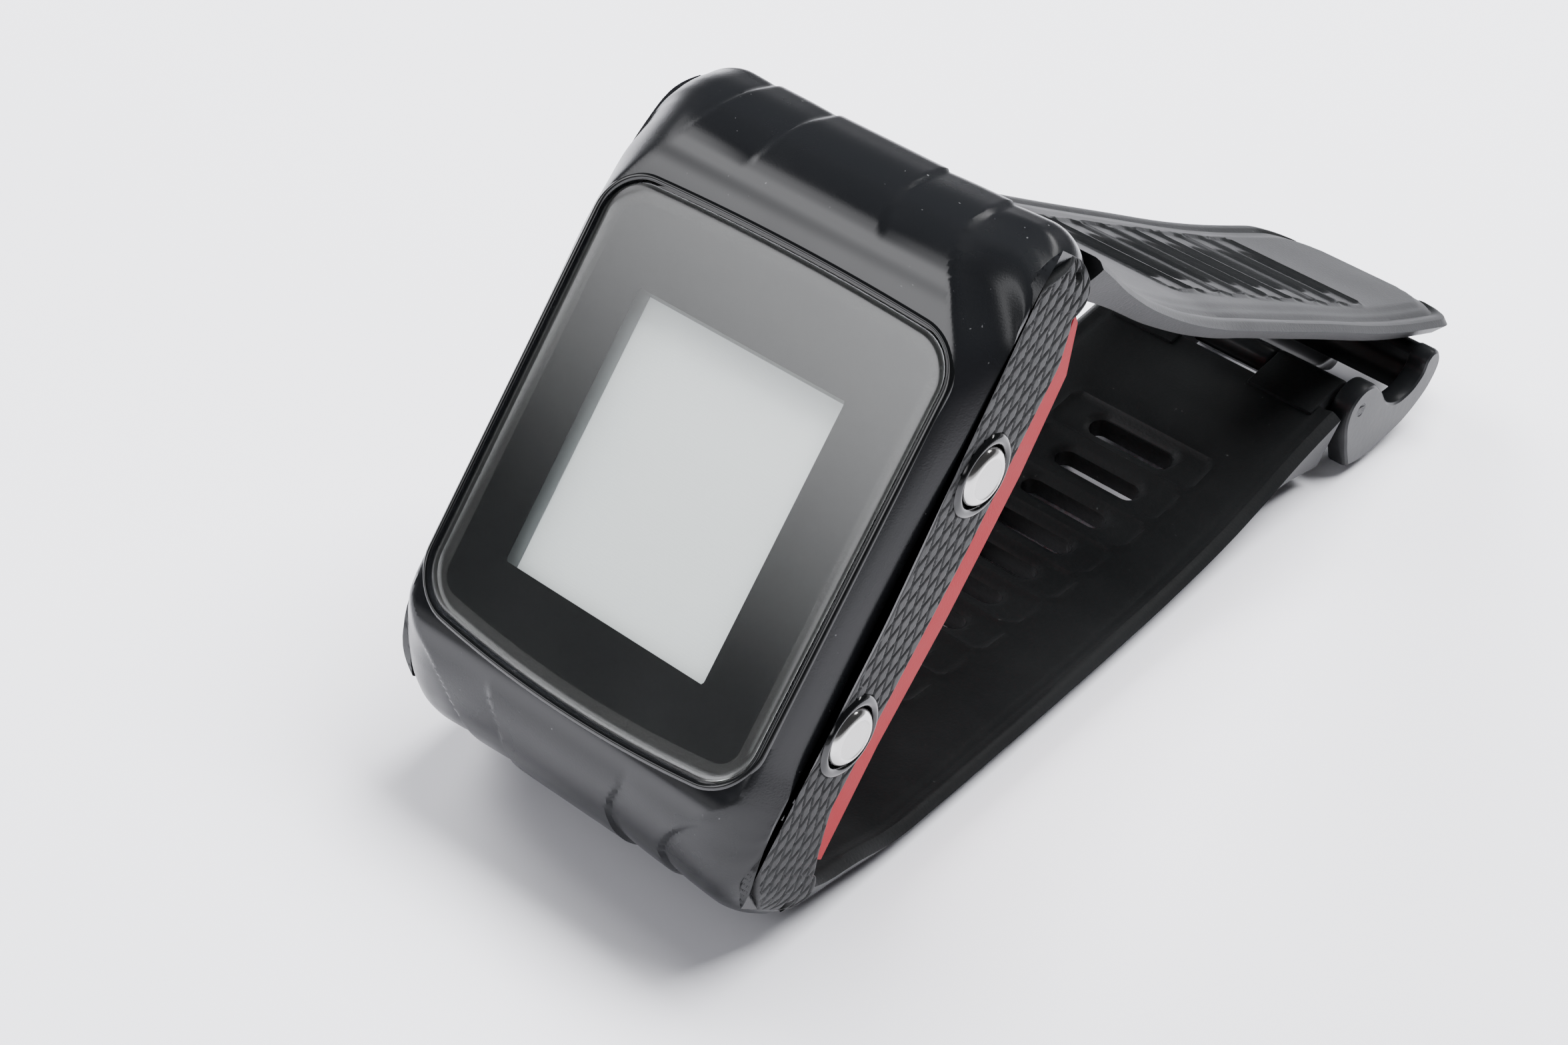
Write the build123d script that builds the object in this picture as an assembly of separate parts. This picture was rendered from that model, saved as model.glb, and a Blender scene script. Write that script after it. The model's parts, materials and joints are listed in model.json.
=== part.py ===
from build123d import *
import math
import os

# A wrist-worn golf distance watch, standing on its curved rubber strap with the screen leaning back.
# The case and the upper strap are drawn in the case frame: x across, y up the screen, z out of it.
# The lower strap and the buckle are drawn in the floor frame: y along the floor, z its height.

# ---------------------------------------------------------------- driving dimensions, mm and degrees
LEAN = 56.0                 # the case leans back from lying flat by this angle
STAND_HEIGHT = 33.6         # height of the screen's centre above the floor
FIT = 0.30                  # gap between pieces that move past each other
RUNNING = 0.05              # radial clearance of a pin in its bore

CASE_HALF_W = 19.9
CASE_FRONT = 1.0
CASE_LOW = -28.9            # the lower lug's lowest point up the screen
CASE_HIGH = 31.0            # the upper lug's highest
CASE_CORNER_R = 4.0
GRIP_T = 1.0
WALL_IN = 16.4              # inner face of the side walls
CAVITY_TOP = 20.6
CAVITY_BOTTOM = -20.6
CAVITY_FRONT = -1.9

GLASS_HALF_W = 17.2
GLASS_TOP = 19.9
GLASS_BOTTOM = -19.7
GLASS_CORNER_R = 3.5
GLASS_T = 1.0
ADHESIVE_T = 0.3
LEDGE_W = 1.5

UPPER_PIN = (28.2, -6.6)
UPPER_LUG_R = 2.8
UPPER_KNUCKLE_R = 1.8
LOWER_PIN = (-26.6, -11.6)
LOWER_LUG_R = 2.3
LOWER_KNUCKLE_R = 1.45
KNUCKLE_HALF_W = 15.0
BAR_R = 0.75
BAR_TIP_R = 0.45
BAR_TIP_HALF_L = 18.6
OPENING_ANGLE = 45.0        # how far each half of the strap swings outwards

BUTTON_Z = -6.6
BUTTON_R = 2.6
BUTTON_FACE_R = 1.7
BUTTON_OUT = 20.7
BUTTON_TRAVEL = 0.5
STEM_R = 1.0
COLLAR_OUT = 20.3
COLLAR_HALF_H = 3.7
COLLAR_HALF_W = 3.1
BUTTONS = {
    "right_upper": (1, 11.3),
    "right_lower": (1, -11.3),
    "left_upper": (-1, 11.3),
    "left_middle": (-1, 0.0),
    "left_lower": (-1, -11.3),
}

STRAP_TIP_R = 4.0
SLOT_L = 9.7
SLOT_W = 2.4
SLOT_PITCH = 5.5
UPPER_SLOTS = 8
UPPER_SLOT_START = -50.0
LOWER_SLOTS = 10
LOWER_SLOT_LAST = 70.3

BUCKLE_PIN = (88.2, 8.5)
STRAP_END_HALF_W = 12.2
NOTCH_HALF_W = 4.6
TONGUE_HALF_W = 4.25
BUCKLE_HALF_W = 14.9
ARM_T = 2.3

RED_BACK = -13.3
BOARD_Z = -3.9
BOARD_T = 0.8
BATTERY_T = 3.8

case_parts = {}
floor_parts = {}


# ---------------------------------------------------------------- small helpers
def block(x0, x1, y0, y1, z0, z1):
    """A box from its lowest to its highest corner."""
    centre = ((x0 + x1) / 2, (y0 + y1) / 2, (z0 + z1) / 2)
    return Pos(*centre) * Box(x1 - x0, y1 - y0, z1 - z0)


def rod(x0, x1, y, z, r):
    """A round bar along x."""
    length = x1 - x0
    return Pos((x0 + x1) / 2, y, z) * Rot(0, 90, 0) * Cylinder(r, length)


def plate(x0, y0, x1, y1, z0, z1, corner):
    """A flat plate with rounded corners."""
    sheet = RectangleRounded(x1 - x0, y1 - y0, corner)
    return Pos((x0 + x1) / 2, (y0 + y1) / 2, z0) * extrude(sheet, z1 - z0)


def across(sketch, half_w):
    """A side view drawn as (y, z), made solid across x."""
    return extrude(Plane.YZ * sketch, half_w, both=True)


def polygon(points):
    """A closed face from corner points."""
    return make_face(Polyline(*points, close=True))


def on_arc(centre, radius, angle):
    """A point on a circle, at an angle in degrees."""
    turn = math.radians(angle)
    return (centre[0] + radius * math.cos(turn), centre[1] + radius * math.sin(turn))


def pin_web(centre, half_t, angle, length):
    """The side view of a knuckle and the web that leaves it at an angle."""
    web = Pos(length / 2, 0) * Rectangle(length, 2 * half_t)
    return Pos(*centre) * (Circle(half_t) + Rot(0, 0, angle) * web)


# ---------------------------------------------------------------- side view of the case
LUG_TURN = 25.0
SPLIT_LINE = [(25.5, -8.9), (21.5, -10.2), (4.0, -10.6), (-17.5, -10.0), (-22.2, -11.6)]


def case_side():
    """The outline of the case from the side, lugs included."""
    top_start = on_arc(UPPER_PIN, UPPER_LUG_R, LUG_TURN)
    top_mid = on_arc(UPPER_PIN, UPPER_LUG_R, -40)
    top_end = on_arc(UPPER_PIN, UPPER_LUG_R, -110)
    low_start = on_arc(LOWER_PIN, LOWER_LUG_R, -60)
    low_mid = on_arc(LOWER_PIN, LOWER_LUG_R, -120)
    low_end = on_arc(LOWER_PIN, LOWER_LUG_R, 172)
    with BuildSketch() as outline:
        with BuildLine():
            ThreePointArc((20.0, CASE_FRONT), (24.9, 0.3), (28.6, -1.7))
            ThreePointArc((28.6, -1.7), (30.1, -3.4), top_start)
            ThreePointArc(top_start, top_mid, top_end)
            Polyline(top_end, *SPLIT_LINE, (-23.0, -13.0), low_start)
            ThreePointArc(low_start, low_mid, low_end)
            ThreePointArc(low_end, (-28.4, -7.9), (-27.2, -4.6))
            ThreePointArc((-27.2, -4.6), (-24.4, -0.9), (-20.0, CASE_FRONT))
            Line((-20.0, CASE_FRONT), (20.0, CASE_FRONT))
        make_face()
    return outline.sketch


def glass_outline(grow):
    """The outline of the glass, with its crowned top and bowed bottom edge."""
    half_w = GLASS_HALF_W
    with BuildSketch() as outline:
        with BuildLine():
            ThreePointArc((-half_w, -18.3), (0, GLASS_BOTTOM), (half_w, -18.3))
            Line((half_w, -18.3), (half_w, 19.3))
            ThreePointArc((half_w, 19.3), (0, GLASS_TOP), (-half_w, 19.3))
            Line((-half_w, 19.3), (-half_w, -18.3))
        make_face()
        fillet(outline.vertices(), GLASS_CORNER_R)
        if grow:
            offset(amount=grow)
    return outline.sketch


def grip_side():
    """The textured side panel's outline, behind the shoulder line."""
    shoulder = [
        (34, 3), (34, -3.0), (27.5, -1.4), (22, -1.5), (13, -1.8), (5, -3.0), (-3, -3.6), (-13, -3.6),
        (-16.5, -2.2), (-21, -2.0), (-26, -3.4), (-33, -5.6), (-33, 3),
    ]
    return CASE_SIDE - polygon(shoulder)


def rounded_plan():
    """Everything inside the case's plan, whose four corners are rounded."""
    plan = RectangleRounded(2 * CASE_HALF_W, CASE_HIGH - CASE_LOW, CASE_CORNER_R)
    return Pos(0, (CASE_HIGH + CASE_LOW) / 2, 0) * extrude(plan, 40, both=True)


CASE_SIDE = case_side()
CASE_PLAN = rounded_plan()
CASE_CLEARANCE = offset(CASE_SIDE, FIT)
GRIP_SIDE = grip_side()


def knuckle_space(pin, half_t, rest_angle, swing):
    """The room that a strap's knuckle and web sweep between the cheeks."""
    space = pin_web(pin, half_t + FIT, rest_angle, 12)
    for step in range(1, 6):
        space = space + pin_web(pin, half_t + FIT, rest_angle + swing * step / 5, 12)
    return across(space, KNUCKLE_HALF_W + FIT)


# ---------------------------------------------------------------- case mouldings
def make_front_case():
    section = [
        (-CASE_HALF_W, -16), (-CASE_HALF_W, -2.0), (-18.3, CASE_FRONT), (18.3, CASE_FRONT),
        (CASE_HALF_W, -2.0), (CASE_HALF_W, -16),
    ]
    body = across(CASE_SIDE, CASE_HALF_W) & extrude(Plane.XZ * polygon(section), 40, both=True) & CASE_PLAN
    body -= block(-WALL_IN, WALL_IN, CAVITY_BOTTOM, CAVITY_TOP, -16, CAVITY_FRONT)
    body -= extrude(glass_outline(-LEDGE_W), 10, both=True) & block(-30, 30, -30, 30, -3, 5)
    body -= Pos(0, 0, -ADHESIVE_T) * extrude(glass_outline(0.2), 5)
    body -= knuckle_space(UPPER_PIN, UPPER_KNUCKLE_R, -90, OPENING_ANGLE)
    body -= knuckle_space(LOWER_PIN, LOWER_KNUCKLE_R, -90, -OPENING_ANGLE)
    for side in (-1, 1):
        panel = across(GRIP_SIDE, GRIP_T)
        body -= Pos(side * CASE_HALF_W, 0, 0) * panel
    for pin in (UPPER_PIN, LOWER_PIN):
        body -= rod(-CASE_HALF_W, CASE_HALF_W, pin[0], pin[1], BAR_TIP_R + RUNNING)
    for side, y in BUTTONS.values():
        body -= rod_on(side, WALL_IN - 1, CASE_HALF_W, y, STEM_R + 0.1)
        body -= rod_on(side, 17.2, 18.0, y, 1.7)
    for x, y in SCREW_PLACES:
        body += Pos(x, y, -5.75) * Cylinder(1.7, 8.5)
        body -= Pos(x, y, -8.4) * Cylinder(0.65, 5.0)
    return body - block(-30, 30, -30, 30, -16, -13.95)


def rod_on(side, x0, x1, y, r):
    """A round bar for a button, on the right (1) or the left (-1) of the case."""
    low, high = sorted((side * x0, side * x1))
    return rod(low, high, y, BUTTON_Z, r)


def oval_on(side, x0, x1, y, half_h, half_w):
    """An oval bar for a button's collar."""
    low, high = sorted((side * x0, side * x1))
    shape = Pos(y, BUTTON_Z) * Ellipse(half_h, half_w)
    return Pos(low, 0, 0) * extrude(Plane.YZ * shape, high - low)


SCREW_PLACES = [(14.9, 19.1), (-14.9, 19.1), (14.9, -18.9), (-14.9, -18.9)]


def make_back_shell():
    back_line = [
        (-22.2, -12.9), (-12.0, -12.6), (0.0, RED_BACK), (12.0, RED_BACK), (20.8, -12.5), (24.9, -10.0),
    ]
    profile = polygon(SPLIT_LINE + back_line)
    shell = across(profile, CASE_HALF_W - 0.3)
    section = [(-30, -5), (-30, -11.2), (-16, -14), (16, -14), (30, -11.2), (30, -5)]
    shell &= extrude(Plane.XZ * polygon(section), 40, both=True)
    shell -= block(-15.0, 15.0, -16.2, 16.2, -11.9, -5)
    for x, y in SCREW_PLACES:
        shell -= Pos(x, y, -12) * Cylinder(0.85, 6)
        shell -= Pos(x, y, -13.2) * Cylinder(1.5, 2.0)
    for x in CONTACT_PLACES:
        shell -= Pos(x, -11.0, -12) * Cylinder(0.9, 4)
    return shell


CONTACT_PLACES = [-4.5, -1.5, 1.5, 4.5]


def make_grip(side):
    inner = CASE_HALF_W - GRIP_T
    grip = Pos(side * (inner + GRIP_T / 2), 0, 0) * across(GRIP_SIDE, GRIP_T / 2) & CASE_PLAN
    for pin in (UPPER_PIN, LOWER_PIN):
        grip -= rod(-25, 25, pin[0], pin[1], BAR_TIP_R + RUNNING)
    for where, y in BUTTONS.values():
        if where == side:
            grip -= rod_on(side, inner - 1, 25, y, BUTTON_R + 0.2)
    return grip


case_parts["front_case"] = make_front_case()
case_parts["back_shell"] = make_back_shell()
case_parts["side_grip_right"] = make_grip(1)
case_parts["side_grip_left"] = make_grip(-1)


# ---------------------------------------------------------------- glass and display
GLASS = extrude(glass_outline(0), GLASS_T)
case_parts["front_glass"] = chamfer(GLASS.faces().sort_by(Axis.Z)[-1].edges(), 0.25)
case_parts["glass_adhesive"] = Pos(0, 0, -ADHESIVE_T) * (
    extrude(glass_outline(0), ADHESIVE_T) - extrude(glass_outline(-LEDGE_W), ADHESIVE_T)
)
case_parts["display_panel"] = block(-12.2, 12.2, -14.6, 13.8, -1.6, -0.4)
display_frame = block(-14.6, 14.6, -16.2, 15.4, -2.6, -0.5) - block(-12.3, 12.3, -14.7, 13.9, -2.0, 0)
case_parts["display_frame"] = display_frame - block(-6, 6, -15.6, -13.0, -3, -1)
case_parts["display_flex"] = block(-5, 5, -15.4, -14.8, -3.0, -1.2) + block(-5, 5, -15.4, -9.0, -3.05, -2.95)


# ---------------------------------------------------------------- electronics
board = plate(-14.2, -19.8, 14.2, 19.8, BOARD_Z, BOARD_Z + BOARD_T, 1.0)
for x, y in SCREW_PLACES:
    board -= Pos(x, y, BOARD_Z) * Cylinder(2.2, 4)
BOARD_SCREWS = [(11.0, 0.0), (-11.0, -6.0)]
board_screws = None
for x, y in BOARD_SCREWS:
    board -= Pos(x, y, BOARD_Z) * Cylinder(0.75, 4)
    screw = Pos(x, y, BOARD_Z + 0.2) * Cylinder(0.7, 1.8) + Pos(x, y, BOARD_Z - 0.45) * Cylinder(1.3, 0.9)
    board_screws = screw if board_screws is None else board_screws + screw
case_parts["main_board"] = board
case_parts["board_screws"] = board_screws

can = block(-8.0, 6.0, 2.0, 14.0, -5.2, BOARD_Z)
case_parts["rf_shield"] = can - block(-7.8, 5.8, 2.2, 13.8, -5.0, BOARD_Z)
case_parts["processor"] = block(-5.5, 1.0, 4.5, 11.0, -4.8, BOARD_Z)
case_parts["gps_antenna"] = block(-7.5, 7.5, 15.9, 18.2, -3.1, -0.8)
coil = plate(-9.5, -18.0, 9.5, -16.5, -3.1, -2.7, 0.5)
case_parts["tag_reader_coil"] = coil - plate(-8.8, -17.5, 8.8, -17.0, -3.2, -2.6, 0.2)
case_parts["battery"] = plate(-11.0, -14.5, 11.0, 1.5, -9.7, -9.7 + BATTERY_T, 1.5)
case_parts["battery_foam"] = block(-9.0, 9.0, -12.5, -0.5, -10.1, -9.7)
case_parts["vibration_motor"] = Pos(-8.0, 8.0, -7.4) * Cylinder(4.0, 2.7)
buzzer = Pos(6.0, 9.0, -7.0) * (Cylinder(3.5, 1.2) + Pos(0, 0, 0.7) * Cylinder(2.0, 0.2))
case_parts["buzzer"] = buzzer

contacts = None
for x in CONTACT_PLACES:
    pad = Pos(x, -11.0, -12.35) * Cylinder(0.85, 0.9)
    contacts = pad if contacts is None else contacts + pad
case_parts["charging_contacts"] = contacts

gasket = plate(-15.9, -17.0, 15.9, 17.0, -11.4, -10.8, 1.0) - plate(-15.1, -16.3, 15.1, 16.3, -12, -10, 1.0)
case_parts["back_gasket"] = gasket
case_parts["back_shell"] -= gasket
case_parts["front_case"] -= gasket

screws = None
for x, y in SCREW_PLACES:
    head = Pos(x, y, -12.7) * Cylinder(1.4, 0.9)
    shank = Pos(x, y, -9.5) * Cylinder(0.65, 5.6)
    screw = head + shank
    screws = screw if screws is None else screws + screw
case_parts["back_screws"] = screws


# ---------------------------------------------------------------- buttons
def make_button(side, y):
    """A turned metal cap and its stem."""
    cap = rod_on(side, 19.6, BUTTON_OUT, y, BUTTON_R)
    rim = cap.edges().filter_by(GeomType.CIRCLE).sort_by(Axis.X)
    cap = chamfer(rim[-1] if side > 0 else rim[0], 0.5, 0.85)
    stem = rod_on(side, 15.3, 19.6, y, STEM_R)
    groove = rod_on(side, 15.9, 16.2, y, STEM_R) - rod_on(side, 15.9, 16.2, y, 0.7)
    return cap + stem - groove


def make_clip(side, y):
    """The clip that keeps a stem from pulling out of the wall."""
    ring = rod_on(side, 15.9, 16.2, y, 1.7) - rod_on(side, 15.8, 16.3, y, 0.7)
    mouth = block(-20, 20, y - 0.5, y + 0.5, BUTTON_Z, BUTTON_Z + 3)
    return ring - mouth


collars = None
seals = None
switches = None
for name, (side, y) in BUTTONS.items():
    case_parts[name + "_button"] = make_button(side, y)
    case_parts[name + "_clip"] = make_clip(side, y)
    case_parts["front_case"] -= rod_on(side, 18.9, 22, y, BUTTON_R + 0.2)
    collar = oval_on(side, CASE_HALF_W, COLLAR_OUT, y, COLLAR_HALF_H, COLLAR_HALF_W)
    collar -= rod_on(side, 18.8, 21, y, BUTTON_R + 0.15)
    seal = rod_on(side, 17.2, 18.0, y, 1.7) - rod_on(side, 17.1, 18.1, y, STEM_R + RUNNING)
    low, high = sorted((side * 12.0, side * 14.5))
    switch = block(low, high, y - 1.8, y + 1.8, BOARD_Z - 3.8, BOARD_Z)
    switch += rod_on(side, 14.5, 14.72, y, 0.8)
    collars = collar if collars is None else collars + collar
    seals = seal if seals is None else seals + seal
    switches = switch if switches is None else switches + switch
case_parts["button_collars"] = collars
case_parts["button_seals"] = seals
case_parts["tactile_switches"] = switches


# ---------------------------------------------------------------- spring bars
def make_spring_bar(pin):
    """A sprung bar, with thin tips that sit in the cheeks of the case."""
    tube = rod(-14.8, 14.8, pin[0], pin[1], BAR_R)
    return tube + rod(-BAR_TIP_HALF_L, BAR_TIP_HALF_L, pin[0], pin[1], BAR_TIP_R)


case_parts["upper_spring_bar"] = make_spring_bar(UPPER_PIN)
case_parts["lower_spring_bar"] = make_spring_bar(LOWER_PIN)


# ---------------------------------------------------------------- upper half of the strap, long and free
def make_upper_strap():
    outer = [
        (30.3, -9.0), (29.4, -17.5), (29.2, -29.5), (30.3, -44),
        (31.8, -54), (34.6, -71), (37.8, -89.5), (41.9, -107),
    ]
    inner = [
        (26.3, -9.0), (26.8, -17.5), (26.9, -29.5),
        (28.0, -44.3), (29.6, -54.4), (32.4, -71.4), (35.6, -89.9),
        (39.8, -107.4),
    ]
    with BuildSketch() as profile:
        with BuildLine():
            Spline(*outer)
            Line(outer[-1], inner[-1])
            Spline(*reversed(inner))
            Line(inner[0], outer[0])
        make_face()
    strap = across(profile.sketch - CASE_CLEARANCE, 25)
    edge = [
        (20, -9.0), (19, -17.5), (17.5, -29.5), (16, -44),
        (15.3, -54), (14.3, -71), (13.5, -89.5), (12.7, -108),
    ]
    mirrored = [(-x, z) for x, z in reversed(edge)]
    with BuildSketch() as plan:
        with BuildLine():
            Line((-20, 0), (20, 0))
            Line((20, 0), edge[0])
            Spline(*edge)
            Line(edge[-1], mirrored[0])
            Spline(*mirrored)
            Line(mirrored[-1], (-20, 0))
        make_face()
        fillet(outline_tip(plan), STRAP_TIP_R)
    strap &= extrude(Plane.XZ * plan.sketch, 60, both=True)
    strap += across(pin_web(UPPER_PIN, UPPER_KNUCKLE_R, -90, 5.0), KNUCKLE_HALF_W)
    strap -= rod(-25, 25, UPPER_PIN[0], UPPER_PIN[1], BAR_R + RUNNING)
    for step in range(UPPER_SLOTS):
        hole = Pos(0, UPPER_SLOT_START - SLOT_PITCH * step) * SlotOverall(SLOT_L, SLOT_W)
        strap -= extrude(Plane.XZ * hole, 60, both=True)
    return strap


def outline_tip(plan):
    """The two corners at the free end of a strap's plan."""
    return plan.vertices().sort_by(Axis.Y)[:2]


case_parts["upper_strap"] = make_upper_strap()


# ---------------------------------------------------------------- placing the case over the floor
STAND = Pos(0, 0, STAND_HEIGHT) * Rot(LEAN, 0, 0)
CASE_OVER_FLOOR = Pos(0, STAND_HEIGHT) * Rot(0, 0, LEAN)


def over_floor(point):
    """A point (y, z) of the case frame, in the floor frame."""
    turn = math.radians(LEAN)
    y = point[0] * math.cos(turn) - point[1] * math.sin(turn)
    z = point[0] * math.sin(turn) + point[1] * math.cos(turn) + STAND_HEIGHT
    return (y, z)


LOWER_PIN_FLOOR = over_floor(LOWER_PIN)
UPPER_PIN_FLOOR = over_floor(UPPER_PIN)


# ---------------------------------------------------------------- lower half of the strap, with the buckle
def make_lower_strap():
    root_outer = [over_floor((-28.0, -13.2)), over_floor((-27.2, -16.4)), (3.0, 1.0), (8.0, 0.2), (14.0, 0.0)]
    rise_outer = [(46.0, 0.0), (56.0, 0.7), (66.0, 2.0), (76.5, 3.6), (84.4, 2.6)]
    rise_inner = [(84.4, 9.4), (79.0, 7.9), (70.3, 5.2), (64.9, 4.0), (57.0, 3.1), (44.0, 2.6)]
    root_inner = [
        (16.0, 2.6), (10.0, 2.9), (4.3, 4.3), over_floor((-23.8, -15.0)), over_floor((-24.2, -12.8)),
    ]
    with BuildSketch() as profile:
        with BuildLine():
            Spline(*root_outer, tangents=[(0.5, -1), (1, 0)])
            Line(root_outer[-1], rise_outer[0])
            Spline(*rise_outer[:4], tangents=[(1, 0), (1, 0.12)])
            Polyline(rise_outer[3], rise_outer[4], rise_inner[0])
            Spline(*rise_inner, tangents=[(-1, -0.3), (-1, 0)])
            Line(rise_inner[-1], root_inner[0])
            Spline(*root_inner, tangents=[(-1, 0), (-0.4, 1)])
            Line(root_inner[-1], root_outer[0])
        make_face()
    clearance = CASE_OVER_FLOOR * CASE_CLEARANCE
    boss_room = Pos(*BUCKLE_PIN) * Circle(2.6 + FIT)
    strap = across(profile.sketch - clearance - boss_room, 25)
    edge = [
        (20, -12), (20, -4), (19.5, 2), (18.5, 15.6),
        (17.5, 32), (16.3, 49), (15.5, 61), (14.9, 73), (14.6, 90),
    ]
    mirrored = [(-x, y) for x, y in reversed(edge)]
    with BuildSketch() as plan:
        with BuildLine():
            Spline(*edge)
            Line(edge[-1], mirrored[0])
            Spline(*mirrored)
            Line(mirrored[-1], edge[0])
        make_face()
    strap &= extrude(plan.sketch, 60, both=True)
    web_angle = LEAN - 90
    strap += across(pin_web(LOWER_PIN_FLOOR, LOWER_KNUCKLE_R, web_angle, 4.5), KNUCKLE_HALF_W)
    strap -= rod(-25, 25, *LOWER_PIN_FLOOR, BAR_R + RUNNING)
    strap += across(pin_web(BUCKLE_PIN, 1.9, 192, 5.5), STRAP_END_HALF_W)
    strap -= rod(-25, 25, *BUCKLE_PIN, BAR_R + RUNNING)
    strap -= block(-NOTCH_HALF_W, NOTCH_HALF_W, 84.4, 95, 0, 14)
    for step in range(LOWER_SLOTS):
        hole = Pos(0, LOWER_SLOT_LAST - SLOT_PITCH * step) * SlotOverall(SLOT_L, SLOT_W)
        strap -= extrude(hole, 60, both=True)
    return strap


floor_parts["lower_strap"] = make_lower_strap()


# ---------------------------------------------------------------- buckle
def make_buckle_frame():
    arm_outline = [
        (88.2, 1.5), (90.5, 1.0), (94.0, 1.3), (100.8, 3.0),
        (104.4, 6.0), (104.3, 8.2), (102.8, 9.4), (101.6, 9.0),
        (101.0, 7.4), (98.2, 5.8), (94.0, 6.6), (91.2, 9.0), (88.2, 9.5), (86.6, 7.5), (87.4, 4.0),
    ]
    side = polygon(arm_outline) + Pos(*BUCKLE_PIN) * Circle(2.6)
    arms = across(side, BUCKLE_HALF_W) - block(-BUCKLE_HALF_W + ARM_T, BUCKLE_HALF_W - ARM_T, 80, 110, 0, 14)
    bar_outline = [
        (100.6, 4.2), (102.4, 4.5), (104.3, 6.3), (104.2, 8.2), (102.8, 9.4), (101.6, 9.0), (101.9, 7.4),
        (101.0, 5.6), (99.8, 4.9),
    ]
    frame = arms + across(polygon(bar_outline), BUCKLE_HALF_W - ARM_T + 0.1)
    return frame - rod(-25, 25, *BUCKLE_PIN, BAR_R)


def make_buckle_tongue():
    blade = [(88.2, 7.0), (96.0, 3.5), (103.2, 1.9), (103.5, 2.9), (99.0, 3.9), (95.0, 5.4), (89.4, 9.5)]
    tube = Pos(*BUCKLE_PIN) * Circle(1.6)
    tongue = across(polygon(blade) + tube, TONGUE_HALF_W)
    return tongue - rod(-25, 25, *BUCKLE_PIN, BAR_R + RUNNING)


floor_parts["buckle_frame"] = make_buckle_frame()
floor_parts["buckle_pin"] = rod(-BUCKLE_HALF_W, BUCKLE_HALF_W, *BUCKLE_PIN, BAR_R)
floor_parts["buckle_tongue"] = make_buckle_tongue()


# ---------------------------------------------------------------- placing and writing
placed = {name: STAND * shape for name, shape in case_parts.items()}
placed.update(floor_parts)
boxes = [shape.bounding_box() for shape in placed.values()]
front_y = min(box.min.Y for box in boxes)
back_y = max(box.max.Y for box in boxes)
middle_y = (front_y + back_y) / 2

os.makedirs("parts", exist_ok=True)
for name, shape in placed.items():
    export_step(Pos(0, -middle_y, 0) * shape, "parts/" + name + ".step")

print("nodes", len(placed), "middle_y", round(middle_y, 4))
for name, pin in (("lower", LOWER_PIN_FLOOR), ("upper", UPPER_PIN_FLOOR), ("buckle", BUCKLE_PIN)):
    print(name, "pin", round(pin[0] - middle_y, 4), round(pin[1], 4))
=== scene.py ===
import json
import math
import bmesh
import bpy
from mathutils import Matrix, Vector


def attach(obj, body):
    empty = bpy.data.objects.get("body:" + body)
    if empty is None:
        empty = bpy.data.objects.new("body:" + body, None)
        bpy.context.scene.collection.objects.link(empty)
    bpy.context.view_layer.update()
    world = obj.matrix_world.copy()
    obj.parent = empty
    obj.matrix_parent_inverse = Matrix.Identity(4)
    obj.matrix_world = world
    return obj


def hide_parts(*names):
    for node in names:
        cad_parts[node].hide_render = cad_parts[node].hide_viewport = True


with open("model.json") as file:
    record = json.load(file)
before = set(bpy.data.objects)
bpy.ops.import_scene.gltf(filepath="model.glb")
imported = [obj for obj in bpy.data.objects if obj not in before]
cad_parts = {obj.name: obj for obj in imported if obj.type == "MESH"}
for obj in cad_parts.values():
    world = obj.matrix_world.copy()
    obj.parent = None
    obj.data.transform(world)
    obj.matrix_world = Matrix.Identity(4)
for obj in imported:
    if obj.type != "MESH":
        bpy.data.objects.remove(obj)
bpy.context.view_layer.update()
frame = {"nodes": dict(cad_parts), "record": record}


# ---- camera and studio
# Seen from above and to the right of the screen, at arm's length, through a slightly long lens.
# The watch stands on a sheet of pale card in a tent, lit by two soft boxes and a strip behind it.
camera_data = bpy.data.cameras.new("camera")
camera_data.lens = 69.0
camera_data.sensor_width = 36.0
camera_data.clip_start = 0.01
camera = bpy.data.objects.new("camera", camera_data)
camera.location = (0.11965, -0.19864, 0.1692)
camera.rotation_euler = [math.radians(turn) for turn in (53.876, -5.876, 40.482)]
bpy.context.scene.collection.objects.link(camera)
bpy.context.scene.camera = camera


def colour(hex_code):
    """An sRGB hex colour as linear red, green and blue, with alpha 1."""
    parts = [int(hex_code[start:start + 2], 16) / 255 for start in (1, 3, 5)]
    return [part / 12.92 if part <= 0.04045 else ((part + 0.055) / 1.055) ** 2.4 for part in parts] + [1.0]


def add(tree, kind, inputs=None, **settings):
    """One shader node with its settings. An input is a value, an output to link, or a node's first output."""
    made = tree.nodes.new("ShaderNode" + kind)
    for name, value in settings.items():
        setattr(made, name, value)
    for name, value in (inputs or {}).items():
        if isinstance(value, bpy.types.Node):
            value = value.outputs[0]
        if isinstance(value, bpy.types.NodeSocket):
            tree.links.new(value, made.inputs[name])
        else:
            made.inputs[name].default_value = value
    return made


def new_material(name):
    """A material with no shader yet, its node tree, and the place of a point on the piece in metres."""
    made = bpy.data.materials.new(name)
    made.use_nodes = True
    made.node_tree.nodes.clear()
    return made, made.node_tree, add(made.node_tree, "TexCoord").outputs["Object"]


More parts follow.
